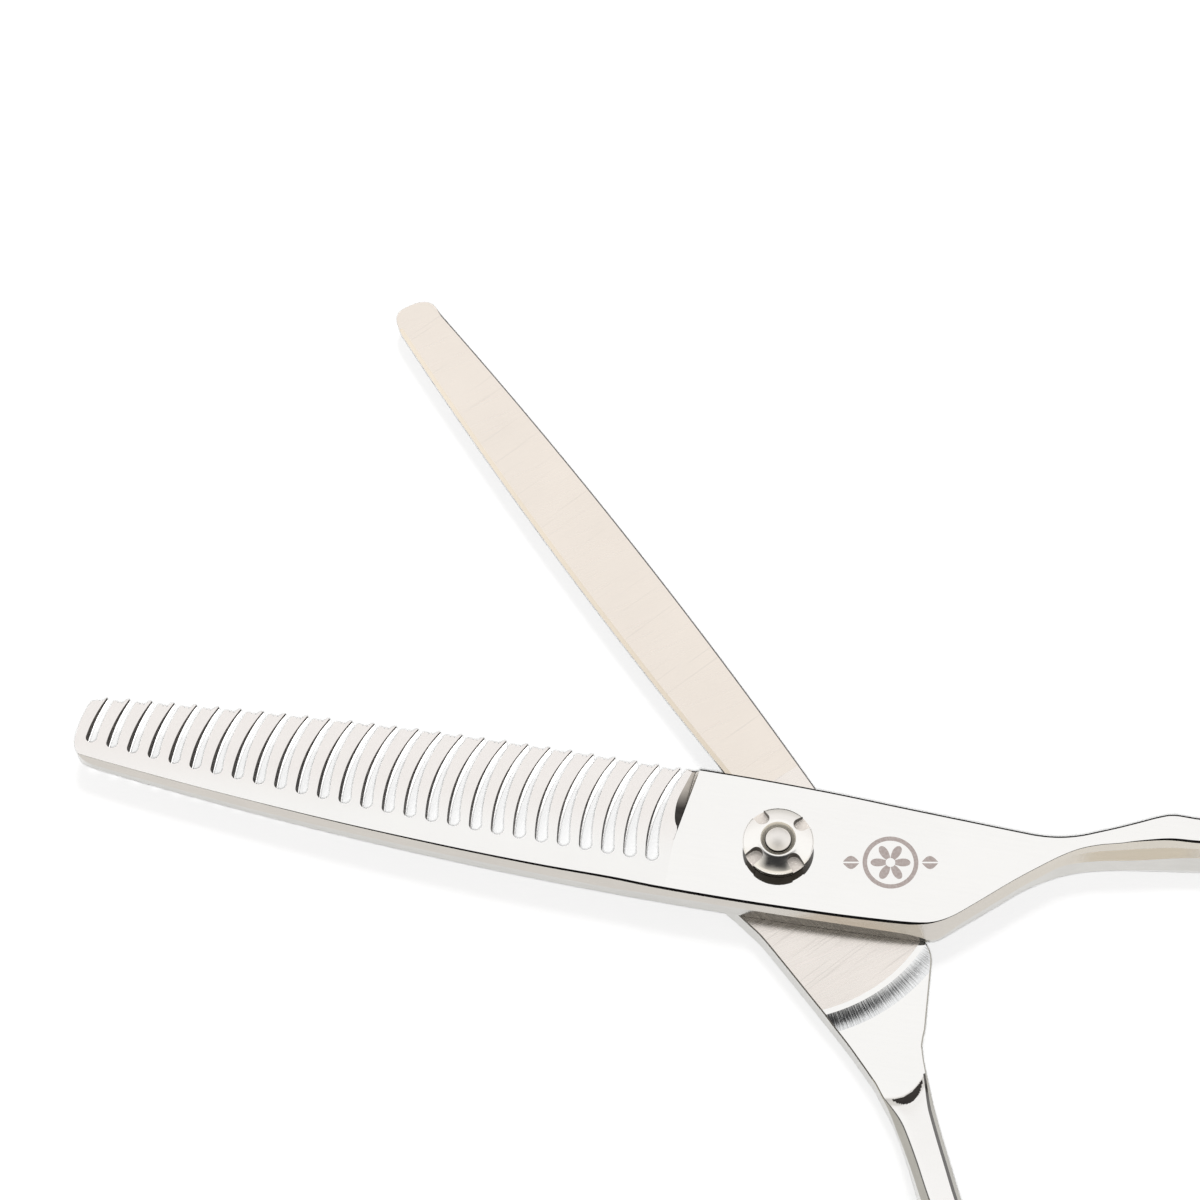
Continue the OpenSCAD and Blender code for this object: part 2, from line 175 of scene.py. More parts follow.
def metal(name, colour, rough, lines=0.0, turn=0.0, scale=(60, 900, 900), vary=0.05, tone=0.04, metallic=1.0,
          radial=False, scratch=0.0):
    """Steel with fine directional lines. lines is how strongly they stand out, turn and scale are their
    direction and fineness, vary and tone are how far roughness and brightness wander, and scratch is the
    strength of longer single scratches."""
    mat, nt, bsdf = new_mat(name)
    bsdf.inputs["Metallic"].default_value = metallic
    fine = noise(nt, place(nt, turn, scale, radial), 4, 5, 0.65)
    broad = noise(nt, place(nt), CLOUD, 3)
    fac = calc(nt, "MULTIPLY", calc(nt, "ADD", fine, broad), 0.5)
    dark = tuple(c * (1 - tone) for c in colour)
    light = tuple(min(1.0, c * (1 + tone)) for c in colour)
    col = blend_colour(nt, ranged(nt, fac, 0.35, 0.65), dark, light)
    high = fine
    if scratch > 0:
        long = noise(nt, place(nt, turn + 0.25, tuple(s * 0.6 for s in scale)), 7, 2, 0.4)
        mark = ranged(nt, long, 0.63, 0.70)
        col = blend_colour(nt, calc(nt, "MULTIPLY", mark, scratch), col, tuple(c * 0.55 for c in colour))
        high = calc(nt, "SUBTRACT", fine, calc(nt, "MULTIPLY", mark, scratch))
    nt.links.new(col, bsdf.inputs["Base Color"])
    nt.links.new(ranged(nt, fine, 0.3, 0.7, max(0.02, rough - vary), rough + vary), bsdf.inputs["Roughness"])
    if lines > 0:
        bump = nt.nodes.new("ShaderNodeBump")
        bump.inputs["Strength"].default_value = lines
        bump.inputs["Distance"].default_value = GROOVE
        nt.links.new(high, bump.inputs["Height"])
        nt.links.new(bump.outputs[0], bsdf.inputs["Normal"])
    return mat


EMBLEM_AT = (0.00997, 0.00022, 0)
EMBLEM_TURN = math.radians(9.9)
PETALS, PETAL_R, HUB_R = 6, 1.75, 0.42
RING_R, RING_HALF = 2.25, 0.2
LEAF_START, LEAF_END, LEAF_HALF, VEIN_HALF = 2.7, 4.2, 0.62, 0.07


def add_emblem(mat):
    """Etched ornament on the heel, in millimetres: a six-petal rosette in a ring between two leaves."""
    nt = mat.node_tree
    bsdf = nt.nodes["Principled BSDF"]
    mp = nt.nodes.new("ShaderNodeMapping")
    mp.vector_type = "TEXTURE"
    mp.inputs["Location"].default_value = EMBLEM_AT
    mp.inputs["Rotation"].default_value = (0, 0, EMBLEM_TURN)
    mp.inputs["Scale"].default_value = (MM, MM, MM)
    nt.links.new(nt.nodes.new("ShaderNodeTexCoord").outputs["Object"], mp.inputs["Vector"])
    u, v = split(nt, mp.outputs[0])[:2]
    r = span(nt, u, v)
    wave = calc(nt, "COSINE", calc(nt, "MULTIPLY", calc(nt, "ARCTAN2", v, u), PETALS / 2))
    petal = calc(nt, "POWER", calc(nt, "ABSOLUTE", wave), 0.7)
    in_petal = calc(nt, "MULTIPLY", calc(nt, "LESS_THAN", r, calc(nt, "MULTIPLY", petal, PETAL_R)),
                    calc(nt, "GREATER_THAN", r, HUB_R))
    in_ring = calc(nt, "LESS_THAN", calc(nt, "ABSOLUTE", calc(nt, "SUBTRACT", r, RING_R)), RING_HALF)
    far, off = calc(nt, "ABSOLUTE", u), calc(nt, "ABSOLUTE", v)
    bow = calc(nt, "SINE", calc(nt, "MULTIPLY", calc(nt, "SUBTRACT", far, LEAF_START), 2.05))
    leaf = calc(nt, "MULTIPLY", calc(nt, "LESS_THAN", off, calc(nt, "MULTIPLY", bow, LEAF_HALF)),
                calc(nt, "MULTIPLY", calc(nt, "GREATER_THAN", far, LEAF_START),
                     calc(nt, "LESS_THAN", far, LEAF_END)))
    vein = calc(nt, "GREATER_THAN", off, VEIN_HALF)
    mask = calc(nt, "MAXIMUM", calc(nt, "MAXIMUM", in_petal, in_ring), calc(nt, "MULTIPLY", leaf, vein))
    grain = noise(nt, place(nt, 0, (1, 1, 1)), 5200, 2)
    mask = calc(nt, "MULTIPLY", mask, ranged(nt, grain, 0.2, 0.6, 0.75, 1.0))
    overlay(nt, mask, (0.50, 0.43, 0.41))
    rough = bsdf.inputs["Roughness"].links[0].from_socket
    nt.links.new(calc(nt, "ADD", rough, calc(nt, "MULTIPLY", mask, 0.30)), bsdf.inputs["Roughness"])


def fade_teeth(mat, colour):
    """The ground faces of the teeth turn into the polished spine over a few millimetres."""
    nt = mat.node_tree
    x, y = split(nt)[:2]
    away = calc(nt, "MULTIPLY", calc(nt, "MAXIMUM", calc(nt, "SUBTRACT", TEETH_X * MM, x), 0.0), CREST_SLOPE)
    above = calc(nt, "ADD", calc(nt, "SUBTRACT", y, CREST_Y * MM), away)
    grain = noise(nt, place(nt, 0, (1, 1, 1)), 3800, 3)
    tint = blend_colour(nt, ranged(nt, grain, 0.3, 0.7), tuple(c * 0.965 for c in colour), colour)
    overlay(nt, ranged(nt, above, -0.0015, 0.0022), tint)


def blend_along(mat, axis, lo, hi, colour):
    """Changes a steel's tint gradually along one axis; both uses grade painted shade."""
    nt = mat.node_tree
    fac = ranged(nt, split(nt)[axis], lo, hi)
    cloud = noise(nt, place(nt, 0, (1, 1, 1)), 700, 3)
    overlay(nt, calc(nt, "MULTIPLY", fac, ranged(nt, cloud, 0.3, 0.6, 0.8, 1.0)), colour)


def rim_of_pin(mat):
    """Dark ring and duller band round the bolt's domed end."""
    nt = mat.node_tree
    r = span(nt, *split(nt)[:2])
    dark = ranged(nt, r, 0.00108, 0.00113)
    dull = ranged(nt, r, 0.00118, 0.00122)
    overlay(nt, dark, blend_colour(nt, dull, (0.03, 0.026, 0.02), (0.48, 0.455, 0.40)))


def put(obj, mat):
    """Gives an object one material in place of its own."""
    obj.data.materials.clear()
    obj.data.materials.append(mat)


# ---- materials -------------------------------------------------------------------------
# x where the toothed blade's ground faces begin, y of the crest between them and the spine there, and how
# fast that crest falls towards the tip
TEETH_X, CREST_Y, CREST_SLOPE = -9.2, -1.0, 0.028
STEEL = (0.93, 0.925, 0.915)
BRUSHED = OPEN - 0.157  # direction across the plain blade

# each has its colour, roughness, lines with their turn and scale, and how far roughness and tone wander
polished = metal("polished_steel_look", STEEL, 0.05, 0.02, 0.0, (60, 900, 900), 0.015, 0.012)
heel_face = metal("heel_face_look", STEEL, 0.05, 0.02, 0.0, (60, 900, 900), 0.015, 0.012)
add_emblem(heel_face)
tooth_steel = metal("tooth_steel_look", STEEL, 0.16, 0.12, math.radians(12), (900, 90, 900), 0.05, 0.02)
fade_teeth(tooth_steel, (0.905, 0.875, 0.855))
# Slot walls, upper strip: dark rough ground steel with painted shade, a band that widens towards the slot roots.
slot_wall_painted_shade = metal("slot_edge_painted_shade_look", (0.075, 0.06, 0.048), 0.4, 0.7, math.radians(35), (300, 1200, 1200), 0.1,
                  0.55)
# Slot walls, lower part: near-white, hardly metallic coat, painted light in place of the steel's shaded reflection.
slot_wall_painted_light = metal("slot_wall_painted_light_look", (0.95, 0.945, 0.935), 0.5, 0.1, 0.0, (300, 900, 900), 0.1, 0.02,
                   metallic=0.15)
# Near-black painted shade for the step wall beside the teeth and the hollow where the plain half turns up into its
# shank, lightening along Y.
shoulder_painted_shade = metal("shoulder_painted_shade_look", (0.055, 0.05, 0.048), 0.2, 0.1, 0.0, (300, 900, 900), 0.05, 0.3)
blend_along(shoulder_painted_shade, "Y", 0.0022, 0.0046, (0.58, 0.54, 0.49))
# Dark steel for the narrow lands and chamfers along the edges: painted dark reflection.
edge_dark_painted_reflection = metal("edge_dark_painted_reflection_look", (0.13, 0.125, 0.12), 0.14, 0.1, 0.0, (80, 900, 900), 0.04, 0.1)
# Darker, warmer steel for the lower bevel and the seat under the nut: painted shade, lighter from x 14 to 26 mm on.
bevel_painted_shade = metal("bevel_painted_shade_look", (0.60, 0.57, 0.53), 0.20, 0.1, 0.0, (50, 900, 900), 0.05, 0.04)
blend_along(bevel_painted_shade, "X", 0.014, 0.026, (0.64, 0.60, 0.535))
# Greyer steel for side walls and undersides: painted shade.
side_painted_shade = metal("side_painted_shade_look", (0.61, 0.60, 0.575), 0.18, 0.12, 0.0, (60, 700, 700), 0.05, 0.05)
# Olive-grey steel for the plain shank's side facets: painted shade.
shank_side_painted_shade = metal("shank_side_painted_shade_look", (0.40, 0.385, 0.345), 0.16, 0.08, OPEN, (30, 500, 500), 0.05, 0.08)
satin = metal("satin_steel_look", (0.905, 0.835, 0.765), 0.25, 0.16, BRUSHED, (1300, 20, 1300), 0.04, 0.03,
              scratch=0.10)
heel_satin = metal("heel_satin_look", (0.92, 0.868, 0.825), 0.27, 0.25, BRUSHED, (1300, 22, 1300), 0.05, 0.055,
                   scratch=0.22)
band_steel = metal("relief_band_look", (0.80, 0.81, 0.83), 0.09, 1.0, OPEN, (24, 30), 0.06, 0.22, radial=True)
edge_cream = metal("edge_land_look", (0.97, 0.87, 0.745), 0.3, 0.06, OPEN, (700, 300, 700), 0.05, 0.03)
nickel = metal("nickel_look", (0.97, 0.955, 0.93), 0.12, 0.05, 0.0, (300, 300, 300), 0.04, 0.02)
pin_look = metal("pin_look", (0.97, 0.945, 0.92), 0.50, 0.05, 0.0, (300, 300, 300), 0.04, 0.02)
rim_of_pin(pin_look)
# Near-black steel for the nut's side, notch walls and underside: painted shade of the gap round the nut.
nut_side_painted_shade = metal("nut_side_painted_shade_look", (0.03, 0.026, 0.022), 0.3, 0.1, 0.0, (300, 300, 900), 0.06, 0.3)
nut_floor = metal("nut_floor_look", (0.84, 0.76, 0.71), 0.5, 0.9, 0.0, (1500, 1500, 1500), 0.12, 0.25,
                  metallic=0.96)
nut_dish = metal("nut_dish_look", (0.74, 0.70, 0.62), 0.45, 0.2, 0.0, (40, 400), 0.06, 0.10, metallic=0.96,
                 radial=True)
rubber = metal("rubber_look", (0.03, 0.03, 0.03), 0.6, 0.4, 0.0, (500, 500, 500), 0.08, 0.2, metallic=0.0)
bronze = metal("bronze_look", (0.72, 0.50, 0.30), 0.3, 0.1, 0.0, (300, 300, 300), 0.08, 0.08)
polymer = metal("polymer_look", (0.75, 0.73, 0.68), 0.45, 0.2, 0.0, (300, 300, 300), 0.08, 0.05, metallic=0.0)

# CAD nodes that are shown as they are
LOOK = {"pivot_bolt": pin_look, "pivot_bush": bronze, "glide_washer": polymer, "disc_spring": polished,
        "keyed_washer": polished, "finger_rest": polished, "finger_rest_washer": rubber, "bumper": rubber,
        "bumper_stud": polished}
for name, mat in LOOK.items():
    put(NODE[name], mat)


# ---- curves ----------------------------------------------------------------------------
def spline(pts, per=10):
    """Points of a Catmull-Rom curve through pts."""
    p = np.array(pts, float)
    a = np.vstack([2 * p[0] - p[1], p, 2 * p[-1] - p[-2]])
    out = []
    for i in range(len(p) - 1):
        p0, p1, p2, p3 = a[i], a[i + 1], a[i + 2], a[i + 3]
        for t in np.arange(per) / per:
            out.append(0.5 * (2 * p1 + (p2 - p0) * t + (2 * p0 - 5 * p1 + 4 * p2 - p3) * t * t
                              + (3 * p1 - p0 - 3 * p2 + p3) * t ** 3))
    out.append(p[-1])
    return np.array(out)


RAILS = {}  # the curve of each rail that along has met


def along(pts, x):
    """Value of a smooth rail [(x, value), ...] at x."""
    if id(pts) not in RAILS:
        RAILS[id(pts)] = spline(pts)
    c = RAILS[id(pts)]
    return np.interp(x, c[:, 0], c[:, 1])


def table(pts, x):
    """Straight-line value of a rail."""
    return np.interp(x, [p[0] for p in pts], [p[1] for p in pts])


def arc(cx, cy, r, a0, a1, n):
    """n + 1 points of a circle's arc from a0 to a1 degrees."""
    return [(cx + r * math.cos(math.radians(a0 + (a1 - a0) * i / n)),
             cy + r * math.sin(math.radians(a0 + (a1 - a0) * i / n))) for i in range(n + 1)]


def smooth(t):
    """0 to 1 with level ends."""
    t = np.clip(t, 0, 1)
    return t * t * (3 - 2 * t)


def inside(poly, pts):
    """Which points are inside a closed polygon."""
    poly, pts = np.array(poly), np.array(pts)
    x, y = pts[:, 0], pts[:, 1]
    hit = np.zeros(len(pts), bool)
    for (x0, y0), (x1, y1) in zip(poly, np.roll(poly, -1, 0)):
        if y0 != y1:
            hit ^= ((y0 > y) != (y1 > y)) & (x < (x1 - x0) * (y - y0) / (y1 - y0) + x0)
    return hit


def gap(line, x, y):
    """Distance of points from an open polyline."""
    line = np.array(line, float)
    best = np.full(np.shape(x), 1e9)
    for (x0, y0), (x1, y1) in zip(line, line[1:]):
        dx, dy = x1 - x0, y1 - y0
        t = np.clip(((x - x0) * dx + (y - y0) * dy) / max(dx * dx + dy * dy, 1e-12), 0, 1)
        best = np.minimum(best, np.hypot(x - x0 - t * dx, y - y0 - t * dy))
    return best


def shifted(line, d):
    """Open polyline moved sideways, to its left, by d."""
    p = np.array(line, float)
    t = np.gradient(p, axis=0)
    t /= np.linalg.norm(t, axis=1)[:, None]
    return p + np.column_stack([-t[:, 1], t[:, 0]]) * d


# ---- meshes ----------------------------------------------------------------------------
# Each face carries a surface number: an edge between two numbers stays sharp, and the number picks the
# face's material. A loft's sides count up from SKIN.
SKIN, RING, ROD = 500, 700, 750
WALL, WALL_TOP, UNDERSIDE = 800, 801, 900
THINNEST = 0.04  # least thickness of a plate
SHARP = math.radians(30)  # edges bent by more than this stay sharp
ON_PLANE = 1e-4  # how near to a plane a point counts as on it
MERGE = 2e-4  # points closer than this are one


def plate(outer, holes, feats, top, bot, label, strip=None):
    """Closed bmesh between two height functions over an outline, cut along feature lines.
    label gives each top triangle its surface number. strip is the height of WALL_TOP, the upper part of
    the side walls."""
    verts, edges = [], []
    for line, closed in [(outer, True)] + [(h, True) for h in holes] + [(f, False) for f in feats]:
        n = len(verts)
        verts += [Vector((float(p[0]), float(p[1]))) for p in line]
        edges += [(n + i, n + i + 1) for i in range(len(line) - 1)]
        if closed:
            edges.append((n + len(line) - 1, n))
    vo, _, fo, _, _, _ = delaunay_2d_cdt(verts, edges, [], 1, 1e-5)
    tri = np.array([f for f in fo if len(f) == 3])
    xy = np.array([(v.x, v.y) for v in vo])
    mid = xy[tri].mean(1)
    a, b, c = xy[tri[:, 0]], xy[tri[:, 1]], xy[tri[:, 2]]
    turn = (b[:, 0] - a[:, 0]) * (c[:, 1] - a[:, 1]) - (b[:, 1] - a[:, 1]) * (c[:, 0] - a[:, 0])
    keep = inside(outer, mid)
    for h in holes:
        keep &= ~inside(h, mid)
    tri, mid, turn = tri[keep], mid[keep], turn[keep]
    tri[turn < 0] = tri[turn < 0][:, ::-1]
    used = np.unique(tri)
    zt, zb = top(xy[:, 0], xy[:, 1]), bot(xy[:, 0], xy[:, 1])
    mark = label(mid[:, 0], mid[:, 1])
    bm = bmesh.new()
    vt = {i: bm.verts.new((xy[i, 0], xy[i, 1], zt[i])) for i in used}
    vb = {i: bm.verts.new((xy[i, 0], xy[i, 1], min(zb[i], zt[i] - THINNEST))) for i in used}
    tag = bm.faces.layers.int.new("surface")
    sides = set()
    for t, m in zip(tri, mark):
        f = bm.faces.new([vt[i] for i in t])
        f[tag] = int(m)
        f = bm.faces.new([vb[i] for i in t[::-1]])
        f[tag] = UNDERSIDE
        for i, j in ((t[0], t[1]), (t[1], t[2]), (t[2], t[0])):
            sides.add((i, j))
    rim = [e for e in sides if e[::-1] not in sides]
    vm = {}
    if strip:
        for i in {i for e in rim for i in e}:
            h = min(float(strip(xy[i, 0], xy[i, 1])), 0.8 * (vt[i].co.z - vb[i].co.z))
            vm[i] = bm.verts.new((xy[i, 0], xy[i, 1], vt[i].co.z - h))
    for i, j in rim:
        if strip:
            f = bm.faces.new([vt[j], vt[i], vm[i], vm[j]])
            f[tag] = WALL_TOP
            f = bm.faces.new([vm[j], vm[i], vb[i], vb[j]])
        else:
            f = bm.faces.new([vt[j], vt[i], vb[i], vb[j]])
        f[tag] = WALL
    return bm


def loft(bm, rings, surface=SKIN, start_cap=False):
    """Adds a skin through equal loops of points, closed at its far end and, if asked, at its start."""
    tag = bm.faces.layers.int["surface"]
    rows = [[bm.verts.new(p) for p in r] for r in rings]
    m = len(rows[0])
    for a, b in zip(rows, rows[1:]):
        for k in range(m):
            f = bm.faces.new([a[k], a[(k + 1) % m], b[(k + 1) % m], b[k]])
            f[tag] = surface + k
    f = bm.faces.new(rows[-1])
    f[tag] = surface + m
    if start_cap:
        f = bm.faces.new(rows[0][::-1])
        f[tag] = surface + m + 1


def ring(bm, centre, inner, wall, height, segs=160):
    """Adds a closed ring with a stadium section."""
    r = wall / 2
    prof = arc(inner + r, r, r, 180, 360, 16) + arc(inner + r, height - r, r, 0, 180, 16)
    tag = bm.faces.layers.int["surface"]
    rows = []
    for s in range(segs):
        a = 2 * math.pi * s / segs
        rows.append([bm.verts.new((centre[0] + q * math.cos(a), centre[1] + q * math.sin(a), z))
                     for q, z in prof])
    m = len(prof)
    for s in range(segs):
        a, b = rows[s], rows[(s + 1) % segs]
        for k in range(m):
            f = bm.faces.new([a[k], b[k], b[(k + 1) % m], a[(k + 1) % m]])
            f[tag] = RING


def rod(bm, start, way, prof, segs=48):
    """Adds a closed round body: prof is [(distance along way, radius), ...]."""
    way = Vector(way).normalized()
    side = way.cross(Vector((0, 0, 1))).normalized()
    up = side.cross(way)
    rings = [[Vector(start) + way * d + (side * math.cos(t) + up * math.sin(t)) * r
              for t in [2 * math.pi * i / segs for i in range(segs)]] for d, r in prof]
    tag = bm.faces.layers.int["surface"]
    old = set(bm.faces)
    loft(bm, rings, ROD, True)
    for f in bm.faces:
        if f not in old and len(f.verts) == 4:
            f[tag] = ROD


def open_end(bm, x, ends):
    """Takes away the plate's wall at x and moves its points onto the section that the shank starts with."""
    tag = bm.faces.layers.int["surface"]
    dead = [f for f in bm.faces
            if f[tag] in (WALL, WALL_TOP) and all(abs(v.co.x - x) < ON_PLANE for v in f.verts)]
    bmesh.ops.delete(bm, geom=dead, context="FACES")
    bmesh.ops.delete(bm, geom=[v for v in bm.verts if not v.link_faces], context="VERTS")
    for v in bm.verts:
        if abs(v.co.x - x) < ON_PLANE:
            row = ends(v)
            if row:
                v.co = min(row, key=lambda p: abs(p.y - v.co.y))


def finish_mesh(bm, name, turn, looks, pick):
    """Object in metres from a bmesh in millimetres, turned about the pivot.
    pick gives each face, by its surface number and centre, one of the materials in looks."""
    bmesh.ops.remove_doubles(bm, verts=bm.verts, dist=MERGE)
    bmesh.ops.recalc_face_normals(bm, faces=bm.faces)
    tag = bm.faces.layers.int["surface"]
    index = {mat.name: i for i, mat in enumerate(looks)}
    for e in bm.edges:
        fs = e.link_faces
        same = len(fs) == 2 and fs[0][tag] == fs[1][tag]
        e.smooth = bool(same and e.calc_face_angle(0) < SHARP)
    for f in bm.faces:
        f.smooth = True
        f.material_index = index[pick(f[tag], f.calc_center_median()).name]
    bm.transform(Matrix.Rotation(turn, 4, "Z"))
    bm.transform(Matrix.Scale(MM, 4))
    mesh = bpy.data.meshes.new(name)
    bm.to_mesh(mesh)
    bm.free()
    obj = bpy.data.objects.new(name, mesh)
    scene.collection.objects.link(obj)
    for mat in looks:
        mesh.materials.append(mat)
    mod = obj.modifiers.new("even_shading", "WEIGHTED_NORMAL")
    mod.keep_sharp = True
    mod.weight = 80
    return obj


# ---- rings and the finger rest's seat --------------------------------------------------
# centres of the rings, their hole's radius and their section, and the direction and distance of the seat
FINGER_RING, THUMB_RING = (73.0, 13.0), (61.0, -15.5)
HOLE_R, RING_WALL, RING_HEIGHT = 11.0, 3.3, 6.0
REST_TURN, REST_AT = math.radians(20), 12.4


# ---- toothed half ----------------------------------------------------------------------
Z_COMB, Z_TOP = 3.05, 5.6
JOIN = 20.0  # x where the plate ends and the shank's skin starts
SPINE = math.tan(math.radians(0.84))  # how fast the blade thins towards its tip
ACROSS = math.tan(math.radians(5.7))  # slope of the teeth
SOFT = 0.5  # half width of the rounding between spine and teeth
STEP_LOW, STEP_HIGH = -0.98, 6.6  # y of the ends of the step beside the last slot
EDGE_FROM = -8.9  # x where the upper edge's chamfer starts
PIVOT_R, BORE_R, Z_SEAT = 2.95, 2.6, 4.7  # the seat below the nut and the bore for the bush
CHAMFER, RIM = 0.17, 0.29  # along the upper edge
SLOTS, PITCH, SLOT_BOW = 27, 2, 13.2  # the slots' number, spacing and radius of curve
# surface numbers
HEEL, CHAMFER_IN, CHAMFER_OUT, TEETH, STEP, GROUND, LIP_FACE, LOW_SLOPE, SEAT = 1, 2, 3, 4, 5, 6, 7, 8, 11

# the flat face's lower and upper edge, the narrow lip along the lower one, the slope below the lip, and
# the width of the step's wall
FACE_LOW = [(-66, -1.40), (-62, -1.98), (-58, -2.47), (-54, -2.92), (-50, -3.33), (-44, -3.88), (-38, -4.35),
            (-32, -4.72), (-26, -5.02), (-20, -5.22), (-14, -5.3), (-9.6, -5.47), (-2.45, -5.5), (4.62, -5.37),
            (8.15, -5.24), (11.64, -5.04), (13.38, -4.86), (14.23, -4.68), (15.05, -4.36), (15.87, -3.88),
            (16.66, -3.27), (18.21, -1.90), (19.76, -0.49), (21.33, 0.88), (22.91, 2.16), (24.5, 3.39),
            (26.12, 4.4), (27.8, 5.07), (29.5, 5.52), (31.19, 6.05), (33.75, 6.69), (36.36, 6.91), (40, 7.4),
            (46, 8.5), (54, 9.6), (59, 9.9), (61.2, 10.0)]
FACE_UP = [(-12, 5.97), (-8.1, 5.96), (-4.47, 5.95), (-0.85, 5.9), (4.57, 5.73), (10, 5.45), (15.38, 5.2),
           (20.75, 4.95), (22.52, 4.91), (24.27, 5.08), (25.97, 5.52), (27.65, 6.2), (29.32, 6.92),
           (30.98, 7.69), (32.65, 8.47), (33.91, 8.85), (36.13, 8.86), (40, 9.05), (46, 9.8), (54, 11.3),
           (59, 12.8), (61.2, 13.4)]
LIP = [(-66, 0.02), (-48, 0.03), (-38, 0.09), (-31, 0.14), (-9, 0.23), (12.5, 0.25), (15, 0.08), (16, 0.05),
       (30, 0.05), (34, 0.2), (38, 0.27), (61.2, 0.27)]
SLOPE = [(-66, 2.4), (15, 2.4), (20, 1.73), (61.2, 1.73)]
WALL_W = [(-1.0, 0.02), (0.1, 0.08), (0.8, 0.48), (1.6, 0.78), (3, 1.0), (5, 0.82), (6.6, 0.62)]


def back_y(x):
    """The toothed blade's back."""
    return 433.95 - np.sqrt(440.0 ** 2 - (x + 5) ** 2)


def tips_y(x):
    """The line of the teeth's tips."""
    return 6.25 - 460 + np.sqrt(460.0 ** 2 - (x + 20) ** 2)


def slot_sides(i):
    """Both sides of a slot, counted from the tip, and the y of its root."""
    cx = -50.45 + PITCH * i
    root = -3.25 + 2.8 * ((cx + 0.8) / 50) ** 2 + 0.6
    y = tips_y(cx - 11.0) - (0.0 if i == SLOTS - 1 else 0.26)
    right = [(cx + 1.05 - math.sqrt(SLOT_BOW ** 2 - (t - 0.53) ** 2), t) for t in np.linspace(y, root, 18)]
    left = [(cx - math.sqrt(SLOT_BOW ** 2 - (t + 0.3) ** 2), t) for t in
            np.linspace(root, tips_y(cx - 11.6) + 0.02, 18)]
    return right, left, root


def comb_outline(ridge_y):
    """Outline of blade and heel up to the join with the shank, counter-clockwise."""
    pts = [(x, float(back_y(x))) for x in np.linspace(-62.4, 13.6, 90)]
    pts += arc(13.85, -3.15, 2.5, -90, -48.5, 12)
    pts += [(x, -5.022 + (x - 15.507) * 0.8847) for x in (17, 18.5, JOIN)]
    face_lo, face_hi = float(along(FACE_LOW, JOIN)), float(along(FACE_UP, JOIN))
    pts += [(JOIN, y) for y in (ridge_y, face_lo - 0.05, face_lo, face_hi, face_hi + CHAMFER, face_hi + RIM)]
    for x in (17.5, 15, 12.5, 10, 7.5, 5, 2.5, 0, -2, -4, -6, -7.4):
        pts.append((x, float(along(FACE_UP, x)) + RIM))
    for i in range(SLOTS - 1, -1, -1):
        right, left, root = slot_sides(i)
        mid = (right[-1][0] + left[0][0]) / 2
        pts += right
        pts += arc(mid, root, (right[-1][0] - left[0][0]) / 2, 0, -180, 16)[1:-1]
        pts += left
        if i == 0:
            pts += [(-63.1, 3.98), (-63.32, 3.9), (-63.6, 3.92), (-63.85, 3.81)]
            break
        # tip of the tooth to the left of this slot: horn, flat and two nicks, each tooth a little different
        hx, hy = left[-1]
        base = tips_y(hx - 0.7) - 0.26
        s = 0.93 + 0.14 * ((i * 37) % 11) / 11
        pts += [(hx - 0.16, hy - 0.05), (hx - 0.3, hy - 0.13), (hx - 0.42 * s, base + 0.02),
                (hx - 0.5 * s, base), (hx - 0.56 * s, base - 0.13), (hx - 0.63 * s, base - 0.15),
                (hx - 0.71 * s, base - 0.01), (hx - 0.86 * s, base + 0.01), (hx - 0.92 * s, base - 0.12),
                (hx - 0.99 * s, base - 0.14), (hx - 1.07 * s, base), (hx - 1.2 * s, base + 0.01)]
    pts += [tuple(p) for p in spline([(-64.1, 3.72), (-64.37, 2.82), (-64.54, 1.58), (-64.6, 0.37), (-64.56, -0.4),
                                      (-64.35, -1.05), (-63.83, -1.8), (-63.2, -2.12)], 5)]
    return pts


def crest(x):
    """Where the spine's plane meets the plane of the teeth."""
    return CREST_Y - CREST_SLOPE * np.maximum(0.0, TEETH_X - x)


def step_x(y):
    """Top edge of the step between the heel's flat face and the teeth."""
    u = y - CREST_Y
    return TEETH_X + np.where(u < 0, 0.01, 0.155) * u


def step_wall(y):
    """Width of the step's wall."""
    return along(WALL_W, np.clip(y, CREST_Y, STEP_HIGH))


def comb_top(x, y):
    """Height of the toothed half's upper side."""
    flat = Z_TOP - np.maximum(0.0, TEETH_X - x) * SPINE
    u = y - crest(x)
    drop = np.where(u < -SOFT, 0.0, np.where(u > SOFT, u, (u + SOFT) ** 2 / (4 * SOFT))) * ACROSS
    k = np.clip((step_x(y) - x) / step_wall(y), 0, 1)
    z = flat - drop * (k * (2 - k)) ** 0.7
    v = np.where(x > EDGE_FROM, y - along(FACE_UP, np.maximum(x, -12)), -1.0)
    z = z - np.where(v > 0, np.where(v < CHAMFER, 0.58 * v, 0.1 + 2.2 * (v - CHAMFER)), 0)
    w, lip = along(FACE_LOW, x) - y, table(LIP, x)
    z = z - np.where(w > 0, np.where(w < lip, 0.2 * w, 0.2 * lip + (w - lip) * table(SLOPE, x)), 0)
    return np.where(np.hypot(x, y) < PIVOT_R, Z_SEAT, z)


def comb_label(x, y):
    """Surface number on the toothed half's upper side."""
    t = step_x(y) - x
    beside = (t > 0) & (y > CREST_Y)
    out = np.where((x > TEETH_X) & ~beside, HEEL, TEETH)
    out = np.where(beside & (t < step_wall(y)), STEP, out)
    out = np.where((t > 0) & (out != STEP) & (y > crest(x) + SOFT), GROUND, out)
    lo = along(FACE_LOW, x)
    out = np.where(y < lo, np.where(y > lo - table(LIP, x), LIP_FACE, LOW_SLOPE), out)
    up = along(FACE_UP, np.maximum(x, -12))
    out = np.where((x > EDGE_FROM) & (y > up), np.where(y < up + CHAMFER, CHAMFER_IN, CHAMFER_OUT), out)
    return np.where(np.hypot(x, y) < PIVOT_R, SEAT, out)


